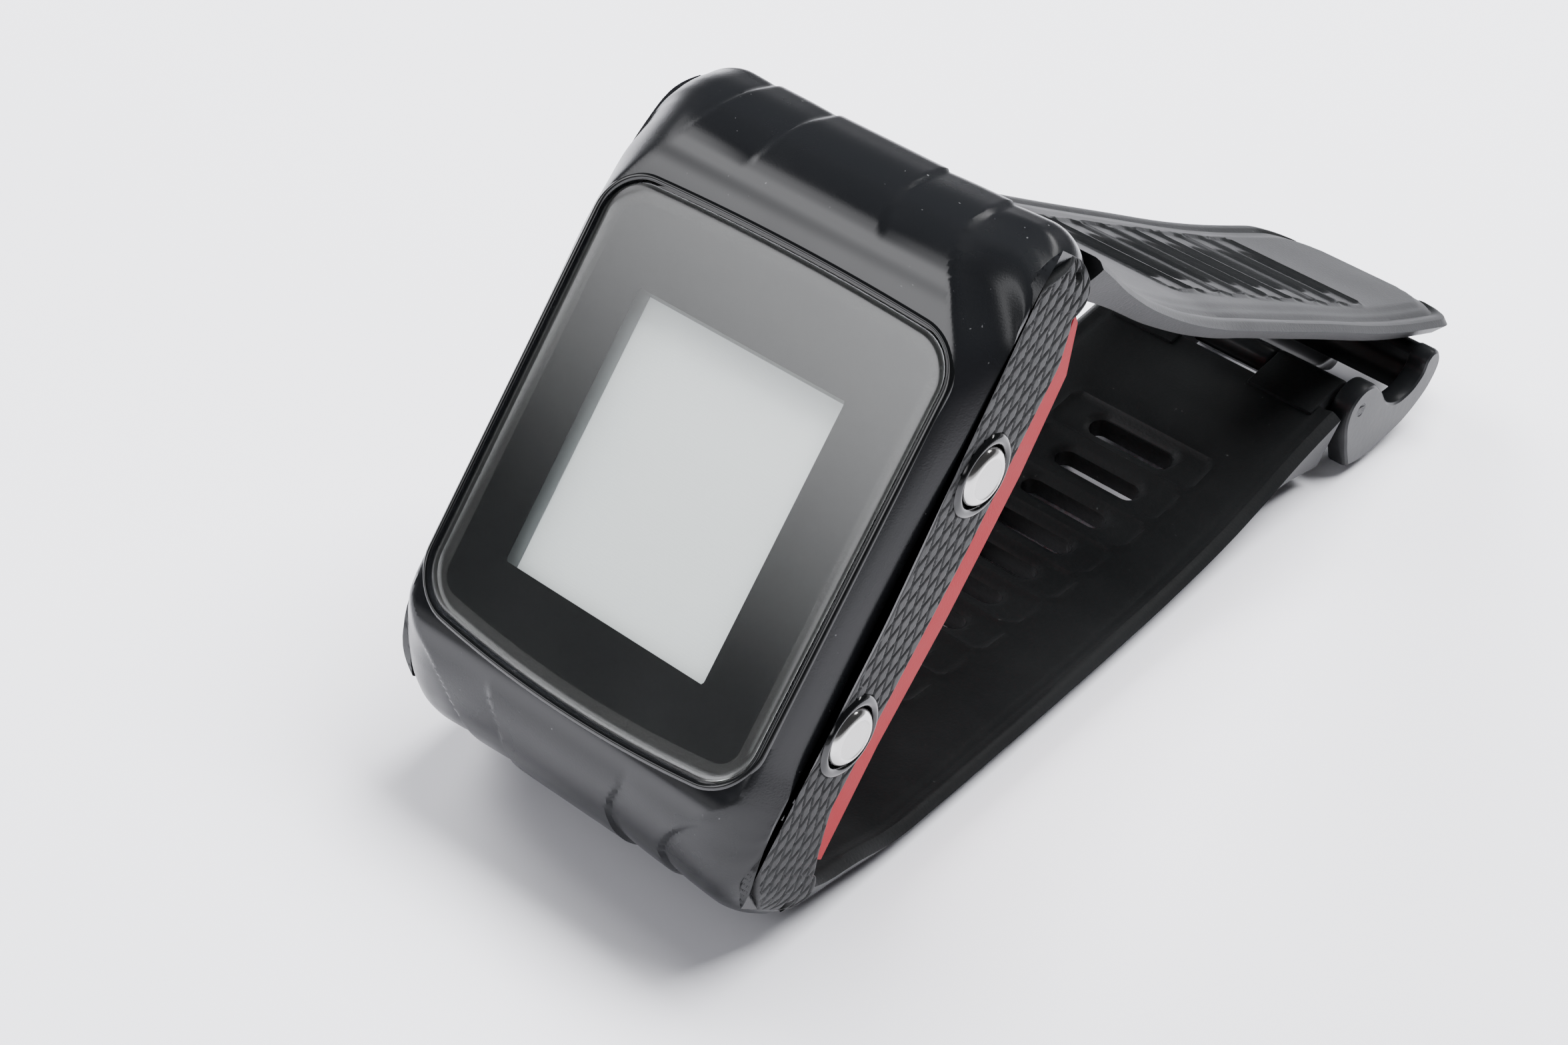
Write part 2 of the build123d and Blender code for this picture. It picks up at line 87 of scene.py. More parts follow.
def mesh_piece(name, points, faces, material, smooth=True):
    """An object in metres from a mesh in millimetres of the row frame, its faces turned outwards."""
    mesh = bpy.data.meshes.new(name)
    mesh.from_pydata([Vector(point) / 1000 for point in points], [], faces)
    work = bmesh.new()
    work.from_mesh(mesh)
    bmesh.ops.recalc_face_normals(work, faces=work.faces)
    work.to_mesh(mesh)
    work.free()
    mesh.materials.append(material)
    if smooth:
        mesh.shade_smooth()
    made = bpy.data.objects.new(name, mesh)
    bpy.context.scene.collection.objects.link(made)
    return made


# The card's paper grain is far too fine to see, so only a slow mottling is drawn.
card, tree, place = new_material("pale_card")
mottle = add(tree, "TexNoise", {"Vector": place, "Scale": 12.0, "Detail": 3.0})
tone = add(tree, "Mix", {0: mottle, 6: colour("#E4E4EB"), 7: colour("#EBEBF1")}, data_type="RGBA")
paper = add(tree, "BsdfPrincipled", {"Base Color": tone.outputs[2], "Roughness": 0.75})
add(tree, "OutputMaterial", {"Surface": paper})
CARD = 1500
corners = [(-CARD, -CARD, 0), (CARD, -CARD, 0), (CARD, CARD, 0), (-CARD, CARD, 0)]
floor = mesh_piece("floor_card", corners, [(0, 1, 2, 3)], card, smooth=False)

# One broad panel of the tent glows at the front left: the glass mirrors its lower edge as a slow fade.
tent = bpy.data.worlds.new("light_tent")
bpy.context.scene.world = tent
tent.use_nodes = True
tree = tent.node_tree
tree.nodes.clear()
direction = add(tree, "TexCoord").outputs["Generated"]
height = add(tree, "SeparateXYZ", {"Vector": direction}).outputs["Z"]
PANEL_WAY = (-0.59, -0.81, 0.0)
facing = add(tree, "VectorMath", {0: direction, 1: PANEL_WAY}, operation="DOT_PRODUCT").outputs["Value"]
SMOOTH = {"interpolation_type": "SMOOTHSTEP"}
panel_low = add(tree, "MapRange", {"Value": height, 1: 0.33, 2: 0.47}, **SMOOTH)
panel_high = add(tree, "MapRange", {"Value": height, 1: 0.56, 2: 0.74, 3: 1.0, 4: 0.0}, **SMOOTH)
panel_side = add(tree, "MapRange", {"Value": facing, 1: 0.35, 2: 0.75}, **SMOOTH)
panel = add(tree, "Math", {0: panel_low, 1: panel_high}, operation="MULTIPLY")
panel = add(tree, "Math", {0: panel, 1: panel_side}, operation="MULTIPLY")
wall = add(tree, "MapRange", {"Value": height, 1: 0.06, 2: 0.26, 3: 0.75, 4: 0.07}, **SMOOTH)
glow = add(tree, "Math", {0: panel, 1: 4.4, 2: wall}, operation="MULTIPLY_ADD")
sky = add(tree, "Background", {"Color": colour("#FAFAFD"), "Strength": glow})
add(tree, "OutputWorld", {"Surface": sky})


def soft_box(name, where, aim, width, height, watts, mirrored=True):
    """A rectangular studio lamp that faces a point, and that gloss may mirror or not."""
    data = bpy.data.lights.new(name, "AREA")
    data.shape = "RECTANGLE"
    data.size = width
    data.size_y = height
    data.energy = watts
    lamp = bpy.data.objects.new(name, data)
    lamp.location = where
    lamp.visible_glossy = mirrored
    lamp.rotation_euler = (Vector(aim) - Vector(where)).to_track_quat("-Z", "Y").to_euler()
    bpy.context.scene.collection.objects.link(lamp)


WATCH = (0, -0.03, 0.03)
soft_box("top_box", (0.05, 0.30, 0.85), WATCH, 0.8, 0.5, 34.0, mirrored=False)
soft_box("left_box", (-0.75, 0.10, 0.50), WATCH, 0.5, 0.4, 12.0, mirrored=False)
soft_box("back_strip", (0.12, 0.62, 0.60), WATCH, 0.5, 0.08, 1.6)


# ---- front case
# The main moulding, one piece of satin black ABS with a piano-black flat around the glass.
# It is injection moulded, and its ends fall to the lugs in five overlapping facets, like shingles.
LEAN = math.radians(56)
LOWER_PIN, LOWER_LUG_R = (-26.6, -11.6), 2.3
UPPER_PIN, UPPER_LUG_R = (28.2, -6.6), 2.8
hinge = {joint["name"]: joint for joint in frame["record"]["behaviour"]["joints"]}
lower_pin_place = [1000 * value for value in hinge["case_hinge"]["pos_m"]]


def on_case(x, u, n):
    """A point of the case, x across it, u up the screen and n out of it, in the row frame."""
    up, out = u - LOWER_PIN[0], n - LOWER_PIN[1]
    y = lower_pin_place[1] + up * math.cos(LEAN) - out * math.sin(LEAN)
    return (x, y, lower_pin_place[2] + up * math.sin(LEAN) + out * math.cos(LEAN))


def arc(centre, radius, start, end, count):
    """Points round a circle, from one angle to another in degrees."""
    turns = [math.radians(start + (end - start) * step / count) for step in range(count + 1)]
    return [(centre[0] + radius * math.cos(turn), centre[1] + radius * math.sin(turn)) for turn in turns]


def curve_through(points, spacing):
    """An even run of points on a smooth curve through a few."""
    curve = bpy.data.curves.new("guide", "CURVE")
    curve.dimensions = "3D"
    curve.resolution_u = 24
    line = curve.splines.new("BEZIER")
    line.bezier_points.add(len(points) - 1)
    for knot, point in zip(line.bezier_points, points):
        knot.co = (point[0], point[1], 0)
        knot.handle_left_type = knot.handle_right_type = "AUTO"
    guide = bpy.data.objects.new("guide", curve)
    bpy.context.scene.collection.objects.link(guide)
    bpy.context.view_layer.update()
    drawn = guide.to_mesh()
    dense = [(vertex.co.x, vertex.co.y) for vertex in drawn.vertices]
    guide.to_mesh_clear()
    bpy.data.objects.remove(guide)
    bpy.data.curves.remove(curve)
    runs = [0.0]
    for here, there in zip(dense, dense[1:]):
        runs.append(runs[-1] + math.dist(here, there))
    count = max(2, round(runs[-1] / spacing))
    even = []
    index = 0
    for step in range(count + 1):
        target = runs[-1] * step / count
        while index < len(dense) - 2 and runs[index + 1] < target:
            index += 1
        share = (target - runs[index]) / max(runs[index + 1] - runs[index], 1e-9)
        even.append(tuple(a + (b - a) * min(share, 1) for a, b in zip(dense[index], dense[index + 1])))
    return even


def between(points, value):
    """The height of a line given by points from left to right, read at a place along it."""
    if value <= points[0][0]:
        return points[0][1]
    for (x0, y0), (x1, y1) in zip(points, points[1:]):
        if value <= x1:
            return y0 + (y1 - y0) * (value - x0) / (x1 - x0)
    return points[-1][1]


def eased(points, value, reach=1.2):
    """The same line with its corners rounded."""
    steps = (-1, -0.6, -0.2, 0.2, 0.6, 1)
    return sum(between(points, value + step * reach) for step in steps) / len(steps)


def ease(low, high, value):
    """A smooth step from 0 at low to 1 at high."""
    share = min(max((value - low) / (high - low), 0), 1)
    return share * share * (3 - 2 * share)


HALF_W, GRIP_X = 19.9, 18.9
CORNER_R, LEFT_CORNER_R = 4.5, 5.2
END_LOW, END_HIGH = -28.9, 31.0
# The shoulders are (u, n) points. The ridge and the crease, which part the facets, are (way, x) points,
# with the way measured along the front from its middle.
SHOULDER = [
    (-29, -9), (-28.7, -7.6), (-27.2, -4.8), (-24.9, -3.2), (-20.8, -2.0), (-17.4, -2.0), (-14.3, -3.4),
    (-2.0, -3.4), (5, -2.9), (13, -1.8), (17.8, -1.6), (22, -1.4), (25.9, -0.8), (28.4, -1.6), (30.6, -5.4),
]
LEFT_SHOULDER = [
    (-29, -9.5), (-28, -7.8), (-26.3, -6.0), (-24.2, -4.2), (-20.8, -2.4), (-17.4, -2.2), (-14.3, -3.4),
    (-2.0, -3.4), (5, -2.9), (13, -1.9), (17.8, -2.0), (22, -2.5), (25.9, -3.6), (28.4, -5.0), (30.6, -7.4),
]
RIDGE = [
    (-40, 11), (-29, 11), (-26.4, 11.6), (-24, 13), (-21.8, 15), (-20, 17), (-18, 17.7), (-10, 17.9),
    (15, 17.9), (17.5, 17.6), (20, 16.4), (23.3, 14.3), (25.8, 13), (28, 12.2), (40, 11.5),
]
CREASE = [(-40, 5.7), (-26, 5.9), (-23, 7.2), (0, 9), (23, 7.0), (27, 5.9), (40, 5.2)]

front_line = curve_through(
    arc(LOWER_PIN, LOWER_LUG_R, -50, -188, 7)
    + [(-28.75, -9.2), (-28.3, -7.2), (-27.1, -4.4), (-25.0, -1.7), (-22.4, 0.15), (-20.2, 0.85), (-18, 0.95)]
    + [(-9, 0.95), (0, 0.95), (9, 0.95), (18, 0.95), (21.5, 0.95), (24.3, 0.9), (26.4, 0.35), (28.4, -1.25)]
    + arc(UPPER_PIN, UPPER_LUG_R, 28, -110, 8),
    0.24,
)
split_line = [(25.5, -8.9), (21.5, -10.2), (4.0, -10.6), (-17.5, -10.0), (-22.2, -11.6)]


def shoulder(x, u):
    """The height of the sharp line between the front and a grip, which falls further on the left."""
    return eased(SHOULDER if x > 0 else LEFT_SHOULDER, u)


def corner_radius(x):
    """The radius of the case's plan corners, which are rounder on the left."""
    return CORNER_R if x > 0 else LEFT_CORNER_R


def corner_inset(x):
    """How much shorter the case is at x, where its plan corners are rounded."""
    radius = corner_radius(x)
    past = abs(x) - (HALF_W - radius)
    return radius - math.sqrt(max(radius ** 2 - past ** 2, 0)) if past > 0 else 0.0


def corner_pulled(x, u):
    """A place along the case, moved inwards where the plan corners are rounded."""
    inset = corner_inset(x)
    return u - inset * ease(19, 30, u) if u > 0 else u + inset * ease(17.5, 28, -u)


def facet_depth(x, way):
    """How far an end facet is sunk below the centre one."""
    across = abs(x)
    crease = eased(CREASE, way)
    ridge = eased(RIDGE, way)
    reach = ease(23.5, 27.5, way) if way > 0 else ease(21.0, 24.5, -way)
    depth = 0.20 if way > 0 else 0.40
    middle = depth * math.exp(-max(across - crease, 0) / 3.2) * ease(crease - 0.12, crease + 0.22, across)
    outer = 1.2 * depth * math.exp(-max(across - ridge, 0) / 2.6) * ease(ridge - 0.12, ridge + 0.25, across)
    return reach * (middle * (1 - ease(ridge - 0.1, ridge + 0.1, across)) + outer)


def front_point(x, index, ways):
    """A point of the case's front, on the station at x."""
    u, n = front_line[index]
    before, after = front_line[max(index - 1, 0)], front_line[min(index + 1, len(front_line) - 1)]
    length = math.dist(before, after)
    out_u, out_n = -(after[1] - before[1]) / length, (after[0] - before[0]) / length
    way = ways[index]
    sunk = facet_depth(x, way)
    u, n = u - out_u * sunk, n - out_n * sunk
    ridge = eased(RIDGE, way)
    share = min(max((abs(x) - ridge) / (HALF_W - ridge), 0), 1)
    facing = max(out_n, 0)
    fall = max(n - shoulder(x, u), 0) * facing
    top_corner = ease(19, 25, way) * (1 - ease(30, 33, way))
    if x > 0:
        scoop = 0.8 * top_corner * math.sin(math.pi * share ** 0.8) ** 1.3
        n -= fall * share ** (1.3 - 0.5 * top_corner) + scoop
    else:
        n -= fall * share ** (1.3 + 0.3 * top_corner)
    return (corner_pulled(x, u), n)


ways = [0.0]
for here, there in zip(front_line, front_line[1:]):
    ways.append(ways[-1] + math.dist(here, there))
facing_out = [index for index, point in enumerate(front_line) if point[1] >= 0]
centre = min(facing_out, key=lambda index: abs(front_line[index][0]))
ways = [way - ways[centre] for way in ways]
back_line = curve_through([front_line[-1]] + split_line + [(-23.0, -13.0), front_line[0]], 0.8)[1:-1]

stations = [-18.9 + 0.315 * step for step in range(121)]
edge_steps = [0.02, 0.15, 0.3, 0.45, 0.6, 0.72, 0.84, 0.94, 1.0]
right_edge = [GRIP_X + step for step in edge_steps]
stations = [-x for x in reversed(right_edge)] + stations + right_edge
case_points = []
for x in stations:
    for index in range(len(front_line)):
        u, n = front_point(x, index, ways)
        if abs(x) > GRIP_X:
            n = max(n, shoulder(x, u) - 0.25)
        case_points.append(on_case(x, u, n))
    for u, n in back_line:
        u = corner_pulled(x, u)
        if abs(x) > GRIP_X:
            n = shoulder(x, u) - 0.3
        case_points.append(on_case(x, u, n))
loop = len(front_line) + len(back_line)


def band_faces(rows, loop, start=0):
    """Quads between closed loops of points, the last of which joins the first again."""
    faces = []
    for row in range(rows):
        for step in range(loop):
            here, beside = start + row * loop, (step + 1) % loop
            there = start + (row + 1) % rows * loop
            faces.append((here + step, there + step, there + beside, here + beside))
    return faces


def skin_faces(rows, loop):
    """Quads between closed loops of points, with both ends capped."""
    faces = band_faces(rows, loop)[:(rows - 1) * loop]
    faces.append(tuple(range(loop)))
    faces.append(tuple((rows - 1) * loop + step for step in reversed(range(loop))))
    return faces


GLASS_HALF_W, GLASS_HALF_H, GLASS_CORNER_R = 17.2, 18.8, 3.5
GLASS_MIDDLE_U = 0.5


def glass_outline(grow):
    """The glass's rounded outline, bowed at its top and bottom, grown by some millimetres."""
    half_w, half_h, radius = GLASS_HALF_W + grow, GLASS_HALF_H + grow, GLASS_CORNER_R + grow
    points = []
    for sign_x, sign_y, start in ((1, 1, 0), (-1, 1, 90), (-1, -1, 180), (1, -1, 270)):
        centre = (sign_x * (half_w - radius), sign_y * (half_h - radius))
        points += arc(centre, radius, start, start + 90, 14)
        if sign_y * sign_x > 0:
            run = half_w - radius
            points += [(sign_x * run * (1 - step / 10), sign_y * half_h) for step in range(1, 20)]
        else:
            run = half_h - radius
            points += [(sign_x * half_w, sign_y * run * (1 - step / 10)) for step in range(1, 20)]
    shaped = []
    for x, y in points:
        crown = 1 - min((x / GLASS_HALF_W) ** 2, 1)
        bow = (0.6 if y > 0 else -1.4) * crown * ease(8, 17, abs(y))
        shaped.append((x, y + GLASS_MIDDLE_U + bow))
    return shaped


def prism(name, rings):
    """A closed cutter from rings of case points."""
    points = [on_case(*point) for ring in rings for point in ring]
    return mesh_piece(name, points, skin_faces(len(rings), len(rings[0])), card, smooth=False)


def combine(piece, other, operation="UNION"):
    """Joins one closed mesh to another, or takes it out of it."""
    other.data.materials.clear()
    other.data.materials.append(piece.data.materials[0])
    change = piece.modifiers.new("combine", "BOOLEAN")
    change.operation = operation
    change.object = other
    change.solver = "MANIFOLD"
    made = bpy.data.meshes.new_from_object(piece.evaluated_get(bpy.context.evaluated_depsgraph_get()))
    piece.modifiers.clear()
    piece.data = made
    bpy.data.objects.remove(other)
    crisp_edges(piece)


def crisp_edges(piece, limit=32):
    """Marks the edges sharper than an angle in degrees, so that smooth shading stops at them."""
    work = bmesh.new()
    work.from_mesh(piece.data)
    for edge in work.edges:
        sharp = len(edge.link_faces) != 2 or edge.calc_face_angle(0) > math.radians(limit)
        edge.smooth = not sharp
    for face in work.faces:
        face.smooth = True
    work.to_mesh(piece.data)
    work.free()


# Moulded ABS: spark-eroded to a fine satin, and polished to piano black beside the glass.
satin_abs, tree, place = new_material("moulded_satin_abs")
SATIN_GRAIN_MM = 0.16
grain = add(tree, "TexNoise", {"Vector": place, "Scale": 1000 / SATIN_GRAIN_MM, "Detail": 2.0})
polish = add(tree, "Attribute", attribute_name="polish").outputs["Fac"]
haze = add(tree, "TexNoise", {"Vector": place, "Scale": 140.0, "Detail": 4.0})
rough = add(tree, "MapRange", {"Value": polish, 3: 0.25, 4: 0.07})
shine = add(tree, "MapRange", {"Value": polish, 3: 0.27, 4: 0.5})
worn = add(tree, "MapRange", {"Value": haze, 1: 0.3, 2: 0.7, 3: -0.03, 4: 0.05})
rough = add(tree, "Math", {0: rough, 1: worn}, operation="ADD")
dull = add(tree, "MapRange", {"Value": polish, 3: 0.16, 4: 0.0})
bump = add(tree, "Bump", {"Height": grain, "Strength": dull, "Distance": 0.00006})
# Dust that has settled in the grain shows as pale specks, drawn coarser than real so that they show.
DUST_MM = 0.45
dust = add(tree, "TexNoise", {"Vector": place, "Scale": 1000 / DUST_MM, "Detail": 1.0})
speck = add(tree, "MapRange", {"Value": dust, 1: 0.78, 2: 0.84, 4: 0.3})
tint = add(tree, "Mix", {0: speck, 6: colour("#131416"), 7: colour("#8D8E90")}, data_type="RGBA")
satin = add(tree, "BsdfPrincipled", {
    "Base Color": tint.outputs[2], "Roughness": rough, "IOR": 1.54, "Normal": bump,
    "Specular IOR Level": shine,
})
add(tree, "OutputMaterial", {"Surface": satin})

front_case = mesh_piece("front_case_moulding", case_points, skin_faces(len(stations), loop), satin_abs)

well = prism("display_well", [
    [(x, u, n) for x, u in glass_outline(grow)]
    for grow, n in ((0.22, 6.0), (0.22, -0.3), (-1.5, -0.31), (-1.5, -5.0), (-1.6, -16.0))
])
combine(front_case, well, "DIFFERENCE")
WALL_IN, HOLLOW_END, HOLLOW_N = 16.4, 20.6, -1.9
corners = [(-WALL_IN, -HOLLOW_END), (WALL_IN, -HOLLOW_END), (WALL_IN, HOLLOW_END), (-WALL_IN, HOLLOW_END)]
hollow = prism("case_hollow", [[(x, u, n) for x, u in corners] for n in (HOLLOW_N, -16.0)])
combine(front_case, hollow, "DIFFERENCE")
GAP_HALF_W, GAP_L = 15.3, 12
for pin, radius, swing in ((UPPER_PIN, 2.1, 45), (LOWER_PIN, 1.75, -45)):
    first, last = sorted((-90, -90 + swing))
    fan = arc(pin, radius, last + 90, first + 270, 24)
    far = [(pin[0] + GAP_L * math.cos(math.radians(a)) + radius * math.cos(math.radians(a + s)),
            pin[1] + GAP_L * math.sin(math.radians(a)) + radius * math.sin(math.radians(a + s)))
           for a, s in ((first, -90), (last, 90))]
    gap = prism("knuckle_gap", [[(x, u, n) for u, n in fan + far] for x in (-GAP_HALF_W, GAP_HALF_W)])
    combine(front_case, gap, "DIFFERENCE")
polish_layer = front_case.data.attributes.new("polish", "FLOAT", "POINT")
for vertex, mark in zip(front_case.data.vertices, polish_layer.data):
    x, y, z = (1000 * value for value in vertex.co)
    up = (y - lower_pin_place[1]) * math.cos(LEAN) + (z - lower_pin_place[2]) * math.sin(LEAN) + LOWER_PIN[0]
    ridge = eased(RIDGE, up)
    flat = (1 - ease(24.6, 26.2, up)) * (1 - ease(20.6, 22.4, -up))
    mark.value = flat * (1 - ease(ridge - 0.9, ridge + 0.5, abs(x)))
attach(front_case, "case")
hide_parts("front_case")


# ---- lip, glass and its black print
# The lip is a polished bead of the case's own ABS that guards the edge of the glass.
# The glass is a flat mineral lens with a rounded edge, glued in, with a black border printed on its back.
gloss_abs, tree, place = new_material("polished_black_abs")
smear = add(tree, "TexNoise", {"Vector": place, "Scale": 90.0, "Detail": 3.0})
rough = add(tree, "MapRange", {"Value": smear, 3: 0.05, 4: 0.14})
bead = add(tree, "BsdfPrincipled", {"Base Color": colour("#08090A"), "Roughness": rough, "IOR": 1.54})
add(tree, "OutputMaterial", {"Surface": bead})

LIP_SECTION = [
    (0.23, -0.2), (0.23, 0.84), (0.29, 0.98), (0.40, 1.07), (0.53, 1.09), (0.66, 1.03), (0.78, 0.93),
    (0.86, 0.80), (0.86, -0.2),
]
outline_size = len(glass_outline(0))
lip_points = [on_case(x, u, n) for grow, n in LIP_SECTION for x, u in glass_outline(grow)]
lip = mesh_piece("glass_lip", lip_points, band_faces(len(LIP_SECTION), outline_size), gloss_abs)
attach(lip, "case")

# Each ring of the lens: how far it is grown, its share of the full size, and its height.
GLASS_RINGS = [
    (-0.4, 0.02, 0.02), (-0.4, 1, 0.02), (-0.1, 1, 0.02), (0, 1, 0.12), (0, 1, 0.66), (-0.06, 1, 0.80),
    (-0.16, 1, 0.90), (-0.32, 1, 0.965), (-0.5, 1, 0.995), (-0.7, 1, 1.0), (-0.8, 1, 1.0), (-0.8, 0.02, 1.0),
]
glass_points = []
for grow, share, n in GLASS_RINGS:
    glass_points += [on_case(x * share, 0.3 + (u - 0.3) * share, n) for x, u in glass_outline(grow)]

# Mineral glass: polished, barely green, with a film of handling haze.
glass, tree, place = new_material("polished_mineral_glass")
smear = add(tree, "TexNoise", {"Vector": place, "Scale": 60.0, "Detail": 5.0})
rough = add(tree, "MapRange", {"Value": smear, 1: 0.35, 2: 0.7, 3: 0.03, 4: 0.075})
lens = add(tree, "BsdfPrincipled", {
    "Base Color": colour("#F6F8F7"), "Roughness": rough, "IOR": 1.52, "Transmission Weight": 1.0,
})
add(tree, "OutputMaterial", {"Surface": lens})
lens_faces = skin_faces(len(GLASS_RINGS), outline_size)
front_glass = mesh_piece("front_glass_lens", glass_points, lens_faces, glass)
crisp_edges(front_glass)
front_glass.visible_shadow = False
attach(front_glass, "case")
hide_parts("front_glass")

# Screen-printed ink: dense black on the back of the glass, with a window for the display.
ink, tree, place = new_material("screen_printed_black_ink")
mottle = add(tree, "TexNoise", {"Vector": place, "Scale": 2500.0, "Detail": 2.0})
tone = add(tree, "Mix", {0: mottle, 6: colour("#0A0B0C"), 7: colour("#101112")}, data_type="RGBA")
print_layer = add(tree, "BsdfPrincipled", {
    "Base Color": tone.outputs[2], "Roughness": 0.4, "Specular IOR Level": 0.1,
})
add(tree, "OutputMaterial", {"Surface": print_layer})

WINDOW = (-11.0, 10.2, -12.6, 11.8)


def window_outline():
    """Points round the window in step with the glass's outline, so that the two can be joined."""
    left, right, low, high = WINDOW
    middle = ((left + right) / 2, (low + high) / 2)
    points = []
    for x, u in glass_outline(0):
        across, up = x / GLASS_HALF_W, (u - GLASS_MIDDLE_U) / GLASS_HALF_H
        size = max(abs(across), abs(up))
        points.append((
            middle[0] + (across / size) * ((right - left) / 2),
            middle[1] + (up / size) * ((high - low) / 2),
        ))
    return points


edge, window = glass_outline(-0.15), window_outline()
border_rows = [(edge, -0.01), (window, -0.01), (window, -0.06), (edge, -0.06)]
border_points = [on_case(x, u, n) for outline, n in border_rows for x, u in outline]
border = mesh_piece("printed_glass_border", border_points, band_faces(4, outline_size), ink, smooth=False)
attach(border, "case")


# ---- display
# A reflective liquid-crystal panel, unlit and blank, sunk under the window so that its edge is in shade.
# It is a sandwich of two glass sheets with a silvery back film, held in a moulded frame.
DOT_PITCH_MM = 0.17
lcd, tree, place = new_material("reflective_liquid_crystal")
dots = add(tree, "TexVoronoi", {"Vector": place, "Scale": 1000 / DOT_PITCH_MM, "Randomness": 0.0})
cloud = add(tree, "TexNoise", {"Vector": place, "Scale": 40.0, "Detail": 2.0})
tone = add(tree, "Mix", {0: cloud, 6: colour("#CDD2D3"), 7: colour("#D8DBDC")}, data_type="RGBA")
shade = add(tree, "MapRange", {"Value": dots.outputs["Distance"], 1: 0.2, 2: 0.6, 4: 0.12})
tone = add(tree, "Mix", {0: shade, 6: tone.outputs[2], 7: colour("#A9AEB0")}, data_type="RGBA")
panel = add(tree, "BsdfPrincipled", {"Base Color": tone.outputs[2], "Roughness": 0.42})
add(tree, "OutputMaterial", {"Surface": panel})
SHEET = (-12.2, 12.2, -14.6, 13.8)
panel_rings = []
for inset, n in ((0.3, -1.6), (0, -1.5), (0, -1.16), (0.12, -1.1), (0.5, -1.1)):
    left, right = SHEET[0] + inset, SHEET[1] - inset
    low, high = SHEET[2] + inset, SHEET[3] - inset
    panel_rings.append([(left, low, n), (right, low, n), (right, high, n), (left, high, n)])
display = mesh_piece(
    "display_glass", [on_case(*point) for ring in panel_rings for point in ring],
    skin_faces(len(panel_rings), 4), lcd, smooth=False,
)
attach(display, "case")
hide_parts("display_panel")

# A thin grey mask on the panel, which frames it where the window shows its edge: partly the panel's own grey
# border, partly painted shade for the shadow that the print casts on the sunk panel.
border_and_shade_finish, tree, place = new_material("grey_border_and_painted_shade")
mottle = add(tree, "TexNoise", {"Vector": place, "Scale": 1800.0, "Detail": 2.0})
tone = add(tree, "Mix", {0: mottle, 6: colour("#5E6263"), 7: colour("#666A6B")}, data_type="RGBA")
film = add(tree, "BsdfPrincipled", {"Base Color": tone.outputs[2], "Roughness": 0.5})
add(tree, "OutputMaterial", {"Surface": film})
# The mask's opening leaves the grey showing only along the left and top edges, where the print's painted
# shade falls.
MASK_WINDOW = (-10.4, 10.7, -13.0, 11.45)
mask_points = []
mask_rows = [(SHEET, -1.0), (MASK_WINDOW, -1.0), (MASK_WINDOW, -1.09), (SHEET, -1.09)]
for (left, right, low, high), n in mask_rows:
    mask_points += [on_case(x, u, n) for x, u in ((left, low), (right, low), (right, high), (left, high))]
mask = mesh_piece("display_edge_border_and_shade", mask_points, band_faces(4, 4), border_and_shade_finish, smooth=False)
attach(mask, "case")


# ---- side grips
# Thin rubber panels bonded into the sides of the case, from the shoulder line to the red cover.
# They are moulded with long, leaf-shaped scales, and pierced for the buttons and the spring bars.
SCALE_L, SCALE_W, SCALE_DEPTH = 3.0, 1.3, 0.16
BUTTON_N, BUTTON_HOLE_R, PIN_HOLE_R = -6.6, 2.85, 0.5
BUTTON_SPOTS = {
    "right_upper": (1, 11.3), "right_lower": (1, -11.3),
    "left_upper": (-1, 11.3), "left_middle": (-1, 0.0), "left_lower": (-1, -11.3),
}

# Moulded rubber: matte, with a dusty grey bloom that gathers on the high spots.
rubber, tree, place = new_material("moulded_black_rubber")
RUBBER_GRAIN_MM = 0.22
grain = add(tree, "TexNoise", {"Vector": place, "Scale": 1000 / RUBBER_GRAIN_MM, "Detail": 3.0})
bloom = add(tree, "TexNoise", {"Vector": place, "Scale": 70.0, "Detail": 5.0, "Roughness": 0.65})
cover = add(tree, "MapRange", {"Value": bloom, 1: 0.38, 2: 0.72, 4: 0.55})
tone = add(tree, "Mix", {0: cover, 6: colour("#0E0F10"), 7: colour("#1C1D1E")}, data_type="RGBA")
fleck = add(tree, "TexNoise", {"Vector": place, "Scale": 2100.0, "Detail": 1.0})
speck = add(tree, "MapRange", {"Value": fleck, 1: 0.74, 2: 0.82, 4: 0.25})
tone = add(tree, "Mix", {0: speck, 6: tone.outputs[2], 7: colour("#8E8F90")}, data_type="RGBA")
rough = add(tree, "MapRange", {"Value": bloom, 3: 0.46, 4: 0.68})
bump = add(tree, "Bump", {"Height": grain, "Strength": 0.35, "Distance": 0.00008})
hide = add(tree, "BsdfPrincipled", {
    "Base Color": tone.outputs[2], "Roughness": rough, "IOR": 1.52, "Normal": bump,
    "Specular IOR Level": 0.35,
})
add(tree, "OutputMaterial", {"Surface": hide})


def scale_height(u, n):
    """The grip's relief: leaf-shaped scales, parted by narrow grooves, each with a raised tip."""
    bend = 0.35 * math.sin(u * 0.55) * ease(12, 20, -u)
    along, over = u / SCALE_L, (n + bend) / SCALE_W
    first, second = along + over, along - over
    gap = min(abs(first - round(first)), abs(second - round(second)))
    lift = (first - math.floor(first)) * (second - math.floor(second))
    return -SCALE_DEPTH * (1 - ease(0.02, 0.11, gap)) + 0.06 * lift - 0.03


def grip_low(u):
    """The grip's edge beside the red cover and round the lugs."""
    if u > 26:
        return UPPER_PIN[1] - math.sqrt(max(UPPER_LUG_R ** 2 - (u - UPPER_PIN[0]) ** 2, 0))
    if u < -24.8:
        return LOWER_PIN[1] - math.sqrt(max(LOWER_LUG_R ** 2 - (u - LOWER_PIN[0]) ** 2, 0)) + 0.05
    return eased([(-24.8, -12.7)] + split_line[::-1] + [(26, -8.4)], u, 0.5)


